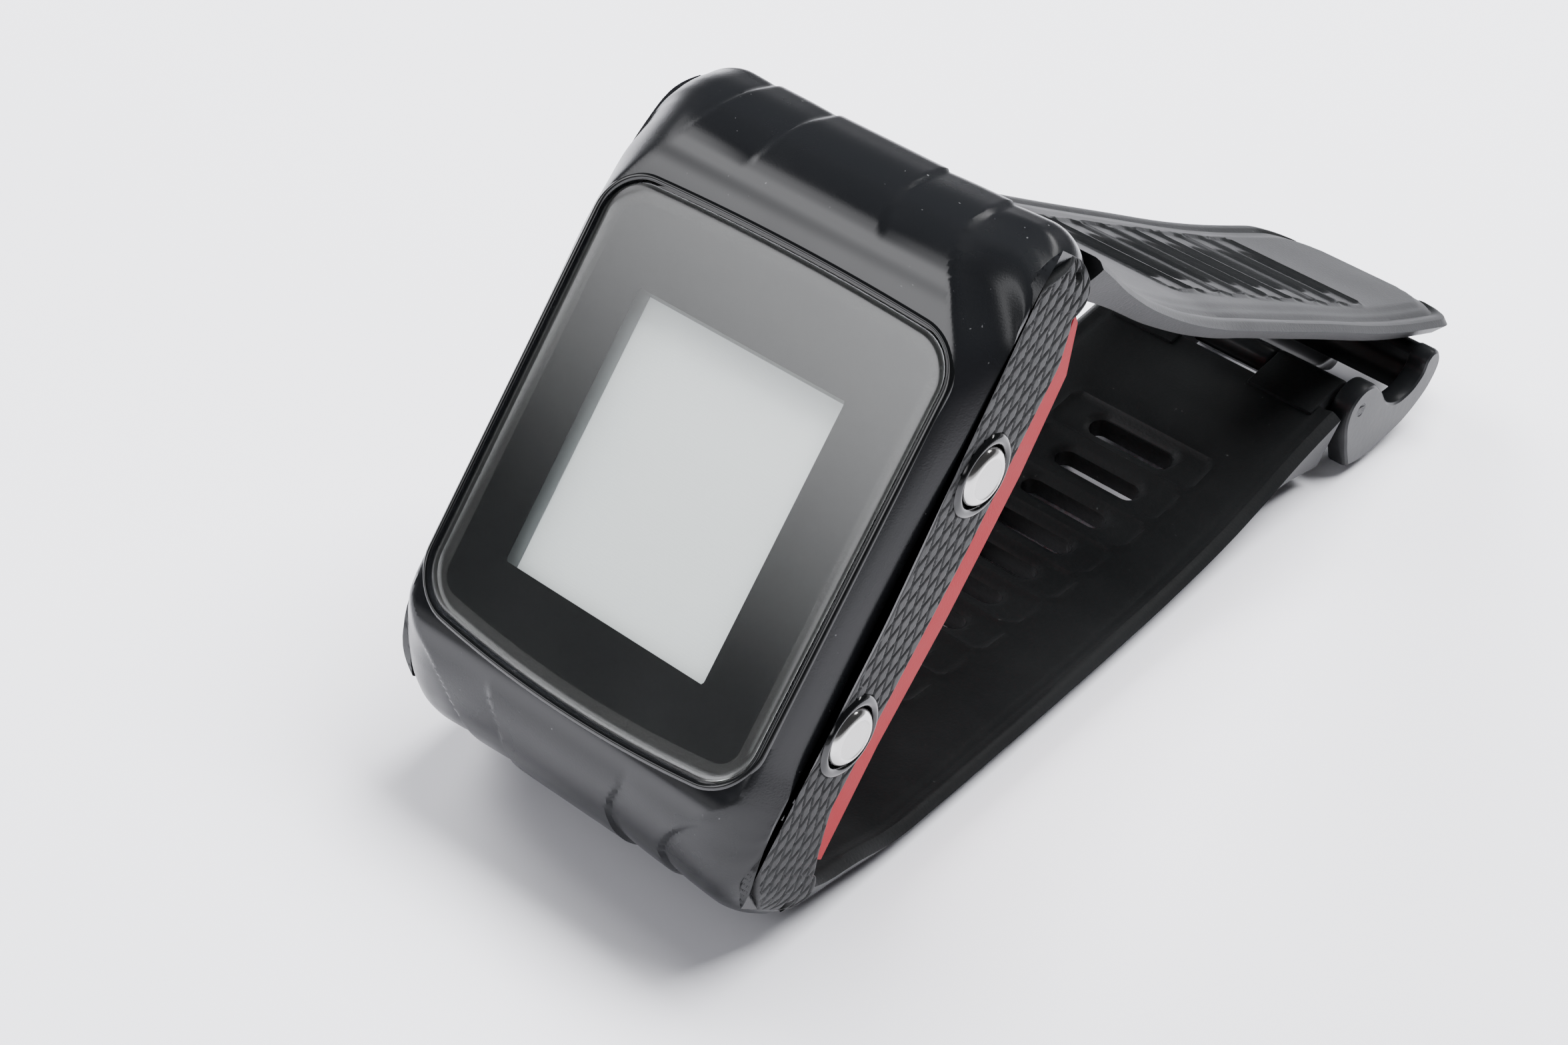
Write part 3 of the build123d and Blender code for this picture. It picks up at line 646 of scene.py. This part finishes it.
rows, columns = 380, 64
for side, hand in ((1, "right"), (-1, "left")):
    outer, inner = [], []
    end_inset = corner_inset(side * GRIP_X) + 0.05
    ends = (END_LOW + end_inset, END_HIGH - end_inset)
    for row in range(rows):
        u = ends[0] + (ends[1] - ends[0]) * row / (rows - 1)
        flat_u = u
        for step in range(8):
            flat_u += u - corner_pulled(side * GRIP_X, flat_u)
        high = shoulder(side, flat_u) - 0.28
        low = grip_low(flat_u)
        radius = corner_radius(side)
        past = max(u - (END_HIGH - radius), (END_LOW + radius) - u, 0)
        face = HALF_W - radius + math.sqrt(radius ** 2 - past ** 2)
        for column in range(columns):
            share = column / (columns - 1)
            n = high + (low - high) * share
            rim = min(share, 1 - share) * abs(high - low)
            height = (scale_height(u, n) if rim > 0.35 else -0.02) - 0.12 * (1 - ease(0, 0.3, rim))
            for spot_side, spot_u in BUTTON_SPOTS.values():
                if spot_side == side and math.dist((u, n), (spot_u, BUTTON_N)) < BUTTON_HOLE_R:
                    height = -0.9
            for pin in (UPPER_PIN, LOWER_PIN):
                if math.dist((u, n), pin) < PIN_HOLE_R:
                    height = -0.9
            x = max(face + height, GRIP_X + 0.02)
            outer.append(on_case(side * x, u, n))
            inner.append(on_case(side * (GRIP_X - 0.03), u, n))
    faces = []
    size = rows * columns
    for row in range(rows - 1):
        for column in range(columns - 1):
            here = row * columns + column
            quad = (here, here + 1, here + 1 + columns, here + columns)
            faces += [quad, tuple(size + corner for corner in reversed(quad))]
    rim = [(row * columns, (row + 1) * columns) for row in range(rows - 1)]
    rim += [((row + 1) * columns - 1, (row + 2) * columns - 1) for row in range(rows - 1)]
    rim += [(column, column + 1) for column in range(columns - 1)]
    last_row = (rows - 1) * columns
    rim += [(last_row + column, last_row + column + 1) for column in range(columns - 1)]
    faces += [(a, b, size + b, size + a) for a, b in rim]
    grip = mesh_piece(hand + "_scaled_grip", outer + inner, faces, rubber)
    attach(grip, "case")
    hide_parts("side_grip_" + hand)


# ---- buttons and their collars
# Five turned stainless steel caps, polished round the rim, with a bead-blasted face.
# Each slides in an oval, raised collar of the case's black plastic.
steel, tree, place = new_material("turned_stainless_steel")
blast = add(tree, "Attribute", attribute_name="blasted").outputs["Fac"]
grain = add(tree, "TexNoise", {"Vector": place, "Scale": 9000.0, "Detail": 2.0})
rough = add(tree, "MapRange", {"Value": blast, 3: 0.16, 4: 0.45})
strength = add(tree, "MapRange", {"Value": blast, 3: 0.02, 4: 0.25})
bump = add(tree, "Bump", {"Height": grain, "Strength": strength, "Distance": 0.00004})
metal = add(tree, "BsdfPrincipled", {
    "Base Color": colour("#C9C8C6"), "Metallic": 1.0, "Roughness": rough, "Normal": bump,
})
add(tree, "OutputMaterial", {"Surface": metal})

CAP_PROFILE = [
    (0.0, 17.6), (0.9, 17.6), (0.95, 19.0), (2.5, 19.05), (2.58, 19.2), (2.58, 19.75), (2.54, 20.0),
    (2.43, 20.22), (2.25, 20.42), (2.02, 20.56), (1.84, 20.62), (1.76, 20.60), (1.70, 20.54),
    (1.62, 20.52), (1.2, 20.53), (0.6, 20.535), (0.0, 20.54),
]
ROUND = 72


def button_cap(name, side, u):
    """A cap turned on its own axis, from a profile that starts and ends on the axis."""
    points = [on_case(side * CAP_PROFILE[0][1], u, BUTTON_N)]
    for radius, out in CAP_PROFILE[1:-1]:
        ring = arc((0, 0), radius, 0, 360, ROUND)[:-1]
        points += [on_case(side * out, u + a, BUTTON_N + b) for a, b in ring]
    points.append(on_case(side * CAP_PROFILE[-1][1], u, BUTTON_N))
    bands = len(CAP_PROFILE) - 2
    faces = [(0, 1 + (step + 1) % ROUND, 1 + step) for step in range(ROUND)]
    for band in range(bands - 1):
        for step in range(ROUND):
            here, beside = 1 + band * ROUND + step, 1 + band * ROUND + (step + 1) % ROUND
            faces.append((here, beside, beside + ROUND, here + ROUND))
    top = 1 + (bands - 1) * ROUND
    faces += [(top + step, top + (step + 1) % ROUND, len(points) - 1) for step in range(ROUND)]
    return mesh_piece(name, points, faces, steel)


collar_points, collar_faces = [], []
COLLAR_SECTION = [
    (0.0, 19.2), (0.0, 20.02), (0.12, 20.18), (0.3, 20.27), (0.5, 20.27), (0.75, 20.15), (1.0, 19.85),
    (1.0, 19.2),
]
for name, (side, u) in BUTTON_SPOTS.items():
    cap = button_cap(name + "_cap", side, u)
    layer = cap.data.attributes.new("blasted", "FLOAT", "POINT")
    bands = [1.0 if radius < 1.74 and out > 20 else 0.0 for radius, out in CAP_PROFILE[1:-1]]
    marks = [0.0] + [band for band in bands for step in range(ROUND)] + [1.0]
    layer.data.foreach_set("value", marks)
    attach(cap, name + "_button")
    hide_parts(name + "_button")
    start = len(collar_points)
    for share, out in COLLAR_SECTION:
        for turn in range(ROUND):
            angle = 2 * math.pi * turn / ROUND
            wide, tall = 2.72 + 1.0 * share, 2.72 + 0.42 * share
            along, over = wide * math.cos(angle), tall * math.sin(angle)
            collar_points.append(on_case(side * out, u + along, BUTTON_N + over))
    collar_faces += band_faces(len(COLLAR_SECTION), ROUND, start)
collars = mesh_piece("raised_button_collars", collar_points, collar_faces, gloss_abs)
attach(collars, "case")
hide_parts("button_collars")


# ---- lower half of the strap
# One moulding of black polyurethane rubber, held to the case by a spring bar and lying on its back.
# Its slots each sit in a thinly ridged field, and a fine bead runs round its edges.
PIN_OVER_FLOOR_Y = -5.2577


def on_floor(x, y, z):
    """A point over the floor, y back from under the screen's centre, in the row frame."""
    return (x, y + lower_pin_place[1] - PIN_OVER_FLOOR_Y, z)


def over_floor(u, n):
    """A point of the case's side view, as y and z over the floor."""
    point = on_case(0, u, n)
    return (point[1] - lower_pin_place[1] + PIN_OVER_FLOOR_Y, point[2])


def side_loft(name, outline, x_steps, place, material, soften=0.0):
    """A closed side view carried across x, its two ends softened by shrinking it a little."""
    area = sum(a[0] * b[1] - b[0] * a[1] for a, b in zip(outline, outline[1:] + outline[:1]))
    turn = 1 if area > 0 else -1
    count = len(outline)
    points = []
    shrink = [soften, soften * 0.3, 0.0] if soften else [0.0]
    insets = shrink + [0.0] * (len(x_steps) - 2 * len(shrink)) + shrink[::-1]
    for x, inset in zip(x_steps, insets):
        for step in range(count):
            before, after = outline[step - 1], outline[(step + 1) % count]
            length = max(math.dist(before, after), 1e-6)
            in_a, in_b = -(after[1] - before[1]) / length * turn, (after[0] - before[0]) / length * turn
            points.append(place(x, outline[step][0] + in_a * inset, outline[step][1] + in_b * inset))
    return mesh_piece(name, points, skin_faces(len(x_steps), count), material)


def knuckle(pin, radius, angle, length, half_w, place, material, middle=0.0):
    """A round knuckle and the web that joins it to the strap, at an angle in the side view."""
    turn = math.radians(angle)
    outline = arc(pin, radius, angle + 90, angle + 270, 20)
    outline.append((outline[-1][0] + length * math.cos(turn), outline[-1][1] + length * math.sin(turn)))
    outline.append((outline[0][0] + length * math.cos(turn), outline[0][1] + length * math.sin(turn)))
    steps = [-half_w, -half_w + 0.1, -half_w + 0.3, half_w - 0.3, half_w - 0.1, half_w]
    return side_loft("knuckle", outline, [middle + step for step in steps], place, material, soften=0.2)


def hollow_round(strap, pin, radius, place):
    """Takes a round channel out of a strap, so that what turns on the pin has room."""
    room = side_loft("room", arc(pin, radius, 0, 360, 48)[:-1], [-25, 25], place, card)
    combine(strap, room, "DIFFERENCE")


SLOT_L, SLOT_W, PITCH = 9.7, 2.4, 5.5


def slot_gap(x, along):
    """How far a place is from the edge of a strap's slot, in millimetres."""
    return math.hypot(max(abs(x) - (SLOT_L / 2 - SLOT_W / 2), 0), along) - SLOT_W / 2


def field_gap(x, along, half_l=8.5, half_w=2.45, corner=1.2):
    """How far a place is from the rounded border of a slot's field."""
    over_x, over_y = abs(x) - half_l + corner, abs(along) - half_w + corner
    return math.hypot(max(over_x, 0), max(over_y, 0)) + min(max(over_x, over_y), 0) - corner


def slot_relief(x, along, first, pitch, count):
    """The ridged fields and soft-edged slots of a strap, at a place along it."""
    nearest = min(max(round((along - first) / pitch), 0), count - 1)
    offset = along - first - nearest * pitch
    field, slot = field_gap(x, offset), slot_gap(x, offset)
    height = 0.20 * math.exp(-(field / 0.24) ** 2) - 0.10 * (1 - ease(-0.3, 0.1, field))
    return height - 0.40 * (1 - ease(0, 0.75, slot)) ** 2


def strap_mesh(name, face_line, back_line_points, half_width, relief, place, material):
    """A strap lofted along its length between its two faces, with the detail on the first of them."""
    spacing = 0.42
    face = curve_through(face_line, spacing)
    back_dense = curve_through(back_line_points, spacing / 4)
    runs = len(face)
    columns, back_columns = 84, 24
    points = []
    for index, (a, b) in enumerate(face):
        share = index / (runs - 1)
        c, d = back_dense[round(share * (len(back_dense) - 1))]
        before, after = face[max(index - 1, 0)], face[min(index + 1, runs - 1)]
        length = math.dist(before, after)
        out_a, out_b = (after[1] - before[1]) / length, -(after[0] - before[0]) / length
        if out_a * (a - c) + out_b * (b - d) < 0:
            out_a, out_b = -out_a, -out_b
        wide = half_width(a, b, share)
        for column in range(columns + 1):
            across = -1 + 2 * column / columns
            x = wide * across
            edge = wide - abs(x)
            lift = relief(x, a, b, edge) - 0.55 * (1 - ease(0, 0.9, edge)) ** 2
            points.append(place(x, a + out_a * lift, b + out_b * lift))
        for column in range(1, back_columns):
            x = wide * (1 - 2 * column / back_columns)
            edge = wide - abs(x)
            lift = 0.35 * (1 - ease(0, 0.9, edge)) ** 2
            points.append(place(x, c + out_a * lift, d + out_b * lift))
    return mesh_piece(name, points, skin_faces(runs, columns + back_columns), material)


def slot_cutter(count, place_at):
    """All the slots of a strap as one set of closed, round-ended prisms."""
    ring = arc((SLOT_L / 2 - SLOT_W / 2, 0), SLOT_W / 2, -90, 90, 16)
    ring += arc((-SLOT_L / 2 + SLOT_W / 2, 0), SLOT_W / 2, 90, 270, 16)
    points, faces = [], []
    for step in range(count):
        start = len(points)
        points += [place_at(step, x, along, low) for low in (True, False) for x, along in ring]
        faces += [tuple(start + corner for corner in face) for face in skin_faces(2, len(ring))]
    return mesh_piece("slots", points, faces, card, smooth=False)


# Polyurethane rubber: softer and greyer than the grips, with a faint rubbed sheen and clinging dust.
strap_rubber, tree, place = new_material("moulded_polyurethane_rubber")
grain = add(tree, "TexNoise", {"Vector": place, "Scale": 1000 / 0.3, "Detail": 3.0})
bloom = add(tree, "TexNoise", {"Vector": place, "Scale": 45.0, "Detail": 6.0, "Roughness": 0.6})
cover = add(tree, "MapRange", {"Value": bloom, 1: 0.35, 2: 0.7, 4: 0.7})
tone = add(tree, "Mix", {0: cover, 6: colour("#0C0D0E"), 7: colour("#191A1B")}, data_type="RGBA")
fleck = add(tree, "TexNoise", {"Vector": place, "Scale": 1500.0, "Detail": 1.5})
speck = add(tree, "MapRange", {"Value": fleck, 1: 0.76, 2: 0.85, 4: 0.22})
tone = add(tree, "Mix", {0: speck, 6: tone.outputs[2], 7: colour("#8E908F")}, data_type="RGBA")
rough = add(tree, "MapRange", {"Value": bloom, 3: 0.42, 4: 0.60})
bump = add(tree, "Bump", {"Height": grain, "Strength": 0.3, "Distance": 0.0001})
band = add(tree, "BsdfPrincipled", {
    "Base Color": tone.outputs[2], "Roughness": rough, "IOR": 1.5, "Normal": bump,
    "Specular IOR Level": 0.28,
})
add(tree, "OutputMaterial", {"Surface": band})

LOWER_FACE = [
    over_floor(-24.2, -12.8), over_floor(-23.8, -15.0), (4.3, 4.3), (10.0, 2.9), (16.0, 2.62), (26, 2.6),
    (36, 2.6), (46, 2.65), (57.0, 3.1), (64.9, 4.0), (70.3, 5.2), (79.0, 7.9), (84.4, 9.3),
]
LOWER_BACK = [
    over_floor(-28.0, -13.2), over_floor(-27.2, -16.4), (3.0, 1.0), (8.0, 0.2), (14.0, 0.02), (24, 0.02),
    (35, 0.02), (46, 0.05), (56.0, 0.7), (66.0, 2.0), (76.5, 3.6), (84.4, 2.7),
]
LOWER_WIDTHS = [
    (-12, 19.9), (-4, 19.9), (2, 19.4), (15.6, 18.5), (32, 17.5), (49, 16.3), (61, 15.5), (73, 14.9),
    (90, 14.6),
]
LOWER_SLOTS, LAST_SLOT = 10, 70.3
BUCKLE_PIN = (88.2, 8.5)


def lower_relief(x, y, z, edge):
    """The lower strap's inner face: the slots' fields, and a fine bead along each edge."""
    height = slot_relief(x, y, LAST_SLOT - PITCH * (LOWER_SLOTS - 1), PITCH, LOWER_SLOTS)
    bead = 0.16 * math.exp(-((edge - 1.1) / 0.35) ** 2) - 0.16 * math.exp(-((edge - 2.0) / 0.4) ** 2)
    return height * ease(6, 9, y) + bead * ease(-2, 4, y)


lower_strap = strap_mesh(
    "lower_strap_moulding", LOWER_FACE, LOWER_BACK, lambda y, z, share: eased(LOWER_WIDTHS, y, 4),
    lower_relief, on_floor, strap_rubber,
)
lower_pin_side = over_floor(*LOWER_PIN)
hollow_round(lower_strap, lower_pin_side, 2.62, on_floor)
hollow_round(lower_strap, BUCKLE_PIN, 2.92, on_floor)
combine(lower_strap, knuckle(lower_pin_side, 1.45, 56 - 90, 4.2, 15.0, on_floor, strap_rubber))
for side in (-1, 1):
    combine(lower_strap, knuckle(BUCKLE_PIN, 1.9, 192, 5.2, 3.8, on_floor, strap_rubber, middle=side * 8.4))
holes = slot_cutter(
    LOWER_SLOTS, lambda step, x, along, low: on_floor(x, LAST_SLOT - PITCH * step + along, -5 if low else 14),
)
combine(lower_strap, holes, "DIFFERENCE")
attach(lower_strap, "lower_strap")
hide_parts("lower_strap")


# ---- upper half of the strap
# The longer half, of the same rubber, which curls back from the top of the case and hangs free.
# Its outer face has a groove inside each edge and a raised middle, and its tip is rounded.
UPPER_FACE = [
    (30.3, -8.0), (29.8, -13), (29.35, -17.5), (29.15, -29.5), (30.2, -44), (31.7, -54), (34.5, -71),
    (37.7, -89.5), (41.8, -106.9),
]
UPPER_BACK = [
    (26.3, -8.0), (26.6, -13), (26.8, -17.5), (26.95, -29.5), (28.1, -44.3), (29.7, -54.4), (32.5, -71.4),
    (35.7, -89.9), (39.9, -107.3),
]
UPPER_WIDTHS = [
    (-107.4, 12.72), (-89.5, 13.5), (-71, 14.3), (-54, 15.3), (-44, 16), (-29.5, 17.5), (-17.5, 19),
    (-9, 19.9),
]
UPPER_SLOTS, FIRST_SLOT = 8, -50.0
TIP_R = 4.2


def upper_half_width(u, n, share):
    """The strap's half width, closing round at its tip."""
    wide = eased(UPPER_WIDTHS, n, 4)
    past = -n - (106.95 - TIP_R)
    return wide - TIP_R + math.sqrt(max(TIP_R ** 2 - max(past, 0) ** 2, 0.3)) if past > 0 else wide


def upper_relief(x, u, n, edge):
    """The upper strap's outer face: the groove inside its edge, its raised middle and its slots' fields."""
    groove = -0.30 * math.exp(-((edge - 2.1) / 0.45) ** 2)
    middle = 0.22 * ease(3.2, 4.6, edge) * ease(13, 22, -n)
    last = FIRST_SLOT - PITCH * (UPPER_SLOTS - 1)
    fields = slot_relief(x, n, last, PITCH, UPPER_SLOTS)
    return groove * ease(10, 16, -n) + middle - 0.1 + fields - 0.1


upper_strap = strap_mesh(
    "upper_strap_moulding", UPPER_FACE, UPPER_BACK, upper_half_width, upper_relief, on_case, strap_rubber,
)
hollow_round(upper_strap, UPPER_PIN, 3.12, on_case)
combine(upper_strap, knuckle(UPPER_PIN, 1.8, -90, 4.8, 15.0, on_case, strap_rubber))
holes = slot_cutter(
    UPPER_SLOTS, lambda step, x, along, low: on_case(x, 10 if low else 60, FIRST_SLOT - PITCH * step + along),
)
combine(upper_strap, holes, "DIFFERENCE")
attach(upper_strap, "upper_strap")
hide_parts("upper_strap")


# ---- buckle
# A cast zinc frame with two curved arms and a crossbar, painted satin black, and a flat tongue.
# Both turn on one steel pin that passes through the end of the lower strap.
buckle_paint, tree, place = new_material("satin_black_painted_zinc")
peel = add(tree, "TexNoise", {"Vector": place, "Scale": 1400.0, "Detail": 2.0})
rubbed = add(tree, "TexNoise", {"Vector": place, "Scale": 180.0, "Detail": 4.0})
rough = add(tree, "MapRange", {"Value": rubbed, 3: 0.28, 4: 0.44})
bump = add(tree, "Bump", {"Height": peel, "Strength": 0.12, "Distance": 0.0001})
tone = add(tree, "Mix", {0: rubbed, 6: colour("#0B0C0D"), 7: colour("#141517")}, data_type="RGBA")
coat = add(tree, "BsdfPrincipled", {
    "Base Color": tone.outputs[2], "Roughness": rough, "IOR": 1.5, "Normal": bump,
    "Specular IOR Level": 0.25,
})
add(tree, "OutputMaterial", {"Surface": coat})


def closed_curve(points, spacing):
    """An even, smooth closed outline through a few points."""
    return curve_through(points + points[:1], spacing)[:-1]


ARM = [
    (88.2, 1.5), (91.0, 1.05), (95.0, 1.45), (100.8, 3.1), (104.0, 6.0), (104.2, 8.2), (102.8, 9.3),
    (101.5, 8.8), (100.8, 7.2), (98.0, 5.9), (94.6, 6.6), (92.0, 9.2), (89.6, 10.8), (86.7, 10.2),
    (85.8, 8.4), (86.6, 5.0),
]
BAR = [
    (100.7, 4.2), (102.4, 4.5), (104.1, 6.3), (104.1, 8.1),
    (102.8, 9.2), (101.6, 8.8), (101.7, 7.2), (100.9, 5.5),
]
arm_line = closed_curve(ARM, 0.3)
bar_line = closed_curve(BAR, 0.25)
arms = []
for side in (-1, 1):
    steps = [side * x for x in (12.6, 12.7, 12.95, 13.4, 13.9, 14.4, 14.72, 14.9)]
    arms.append(side_loft("cast_buckle_frame", arm_line, steps, on_floor, buckle_paint, soften=0.35))
buckle = arms[0]
combine(buckle, arms[1])
combine(buckle, side_loft("crossbar", bar_line, [-12.8, -6, 0, 6, 12.8], on_floor, buckle_paint))
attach(buckle, "buckle_frame")
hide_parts("buckle_frame")

TONGUE = [
    (86.7, 8.2), (88.2, 6.95), (91.5, 5.6), (96.0, 3.6), (100, 2.6), (103.2, 1.95), (103.5, 2.85),
    (99.0, 3.9), (95.0, 5.4), (92, 7.8), (89.4, 9.8), (87.6, 9.9),
]
steps = [-4.25, -4.15, -3.9, -2, 0, 2, 3.9, 4.15, 4.25]
tongue_line = closed_curve(TONGUE, 0.25)
tongue = side_loft("buckle_tongue_blade", tongue_line, steps, on_floor, buckle_paint, soften=0.3)
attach(tongue, "buckle_tongue")
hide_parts("buckle_tongue")


# ---- red back cover and what is inside
# The cover is a separate moulding of red ABS, screwed on over a gasket, and shows as a strip below the grips.
# The rest are bought parts and small mouldings: each keeps its own shape and gets its own finish.
def plain_finish(name, dark, light, grain_mm, rough, metallic=0.0, relief=0.2, shine=0.5):
    """A finish of two close tones mottled at a real grain size, with a little relief."""
    made, tree, place = new_material(name)
    grain = add(tree, "TexNoise", {"Vector": place, "Scale": 1000 / grain_mm, "Detail": 3.0})
    drift = add(tree, "TexNoise", {"Vector": place, "Scale": 110.0, "Detail": 4.0})
    tone = add(tree, "Mix", {0: drift, 6: colour(dark), 7: colour(light)}, data_type="RGBA")
    spread = add(tree, "MapRange", {"Value": drift, 3: rough * 0.85, 4: rough * 1.15})
    bump = add(tree, "Bump", {"Height": grain, "Strength": relief, "Distance": grain_mm * 0.0004})
    shader = add(tree, "BsdfPrincipled", {
        "Base Color": tone.outputs[2], "Roughness": spread, "Metallic": metallic,
        "Normal": bump, "Specular IOR Level": shine,
    })
    add(tree, "OutputMaterial", {"Surface": shader})
    return made


# Each node's finish: name, dark and light tones, grain in mm, roughness, then metallic, relief and shine.
NODE_LOOKS = {
    # Red ABS, spark-eroded to a fine matte.
    "back_shell": ("moulded_red_abs", "#8E0F1B", "#981824", 0.2, 0.55, 0.0, 0.2, 0.15),
    # Double-sided foam tape.
    "glass_adhesive": ("black_foam_tape", "#131313", "#1D1D1D", 0.3, 0.8),
    "display_frame": ("moulded_black_polycarbonate", "#101112", "#17181A", 0.15, 0.5),
    # Copper on amber polyimide film.
    "display_flex": ("amber_polyimide_film", "#A8641C", "#C07A2A", 0.2, 0.3),
    # Glass-fibre laminate under green solder mask.
    "main_board": ("green_masked_fibre_laminate", "#0E4A2A", "#176238", 0.4, 0.4),
    "board_screws": ("zinc_plated_steel", "#A9ACB0", "#C3C6CA", 0.1, 0.3, 1.0),
    "back_screws": ("blackened_screw_steel", "#3A3B3D", "#505255", 0.1, 0.35, 1.0),
    "rf_shield": ("tinned_sheet_steel", "#B4B6B8", "#CBCDCF", 0.25, 0.28, 1.0),
    "processor": ("black_epoxy_package", "#17181A", "#222325", 0.12, 0.55),
    # Fired barium ceramic.
    "gps_antenna": ("fired_antenna_ceramic", "#CFC6B4", "#DCD4C4", 0.2, 0.6),
    "tag_reader_coil": ("enamelled_copper_wire", "#A4552A", "#BC6A38", 0.12, 0.3, 1.0),
    # Aluminium laminate pouch.
    "battery": ("aluminium_laminate_pouch", "#A6A8AC", "#BDBFC3", 0.6, 0.35, 1.0, 0.5),
    "battery_foam": ("open_cell_foam", "#26272A", "#35363A", 0.5, 0.95, 0.0, 0.9),
    "vibration_motor": ("drawn_motor_can", "#B2B4B7", "#C6C8CB", 0.15, 0.25, 1.0),
    "buzzer": ("buzzer_black_nylon", "#1B1C1E", "#262729", 0.2, 0.5),
    # Hard gold over nickel.
    "charging_contacts": ("hard_gold_plate", "#C99A3C", "#D8AC52", 0.1, 0.22, 1.0),
    "back_gasket": ("black_silicone_seal", "#161616", "#202020", 0.25, 0.6),
    "button_seals": ("black_nitrile_ring", "#121212", "#1B1B1B", 0.2, 0.55),
    "tactile_switches": ("switch_nylon_and_steel", "#26282B", "#3A3C40", 0.15, 0.45),
    "upper_spring_bar": ("drawn_spring_steel", "#AEB0B2", "#C2C4C6", 0.1, 0.25, 1.0),
}
finishes = {node_name: plain_finish(*looks) for node_name, looks in NODE_LOOKS.items()}
finishes["lower_spring_bar"] = finishes["buckle_pin"] = finishes["upper_spring_bar"]
for name in BUTTON_SPOTS:
    finishes[name + "_clip"] = finishes["upper_spring_bar"]
for node_name, finish in finishes.items():
    node = frame["nodes"][node_name]
    if not node.material_slots:
        node.data.materials.append(finish)
    for slot in node.material_slots:
        slot.link = "OBJECT"
        slot.material = finish
cover = frame["nodes"]["back_shell"]
weld = cover.modifiers.new("weld", "WELD")
weld.merge_threshold = 0.000005
soften = cover.modifiers.new("soften", "BEVEL")
soften.width = 0.00035
soften.segments = 3
soften.limit_method = "ANGLE"
soften.angle_limit = math.radians(28)
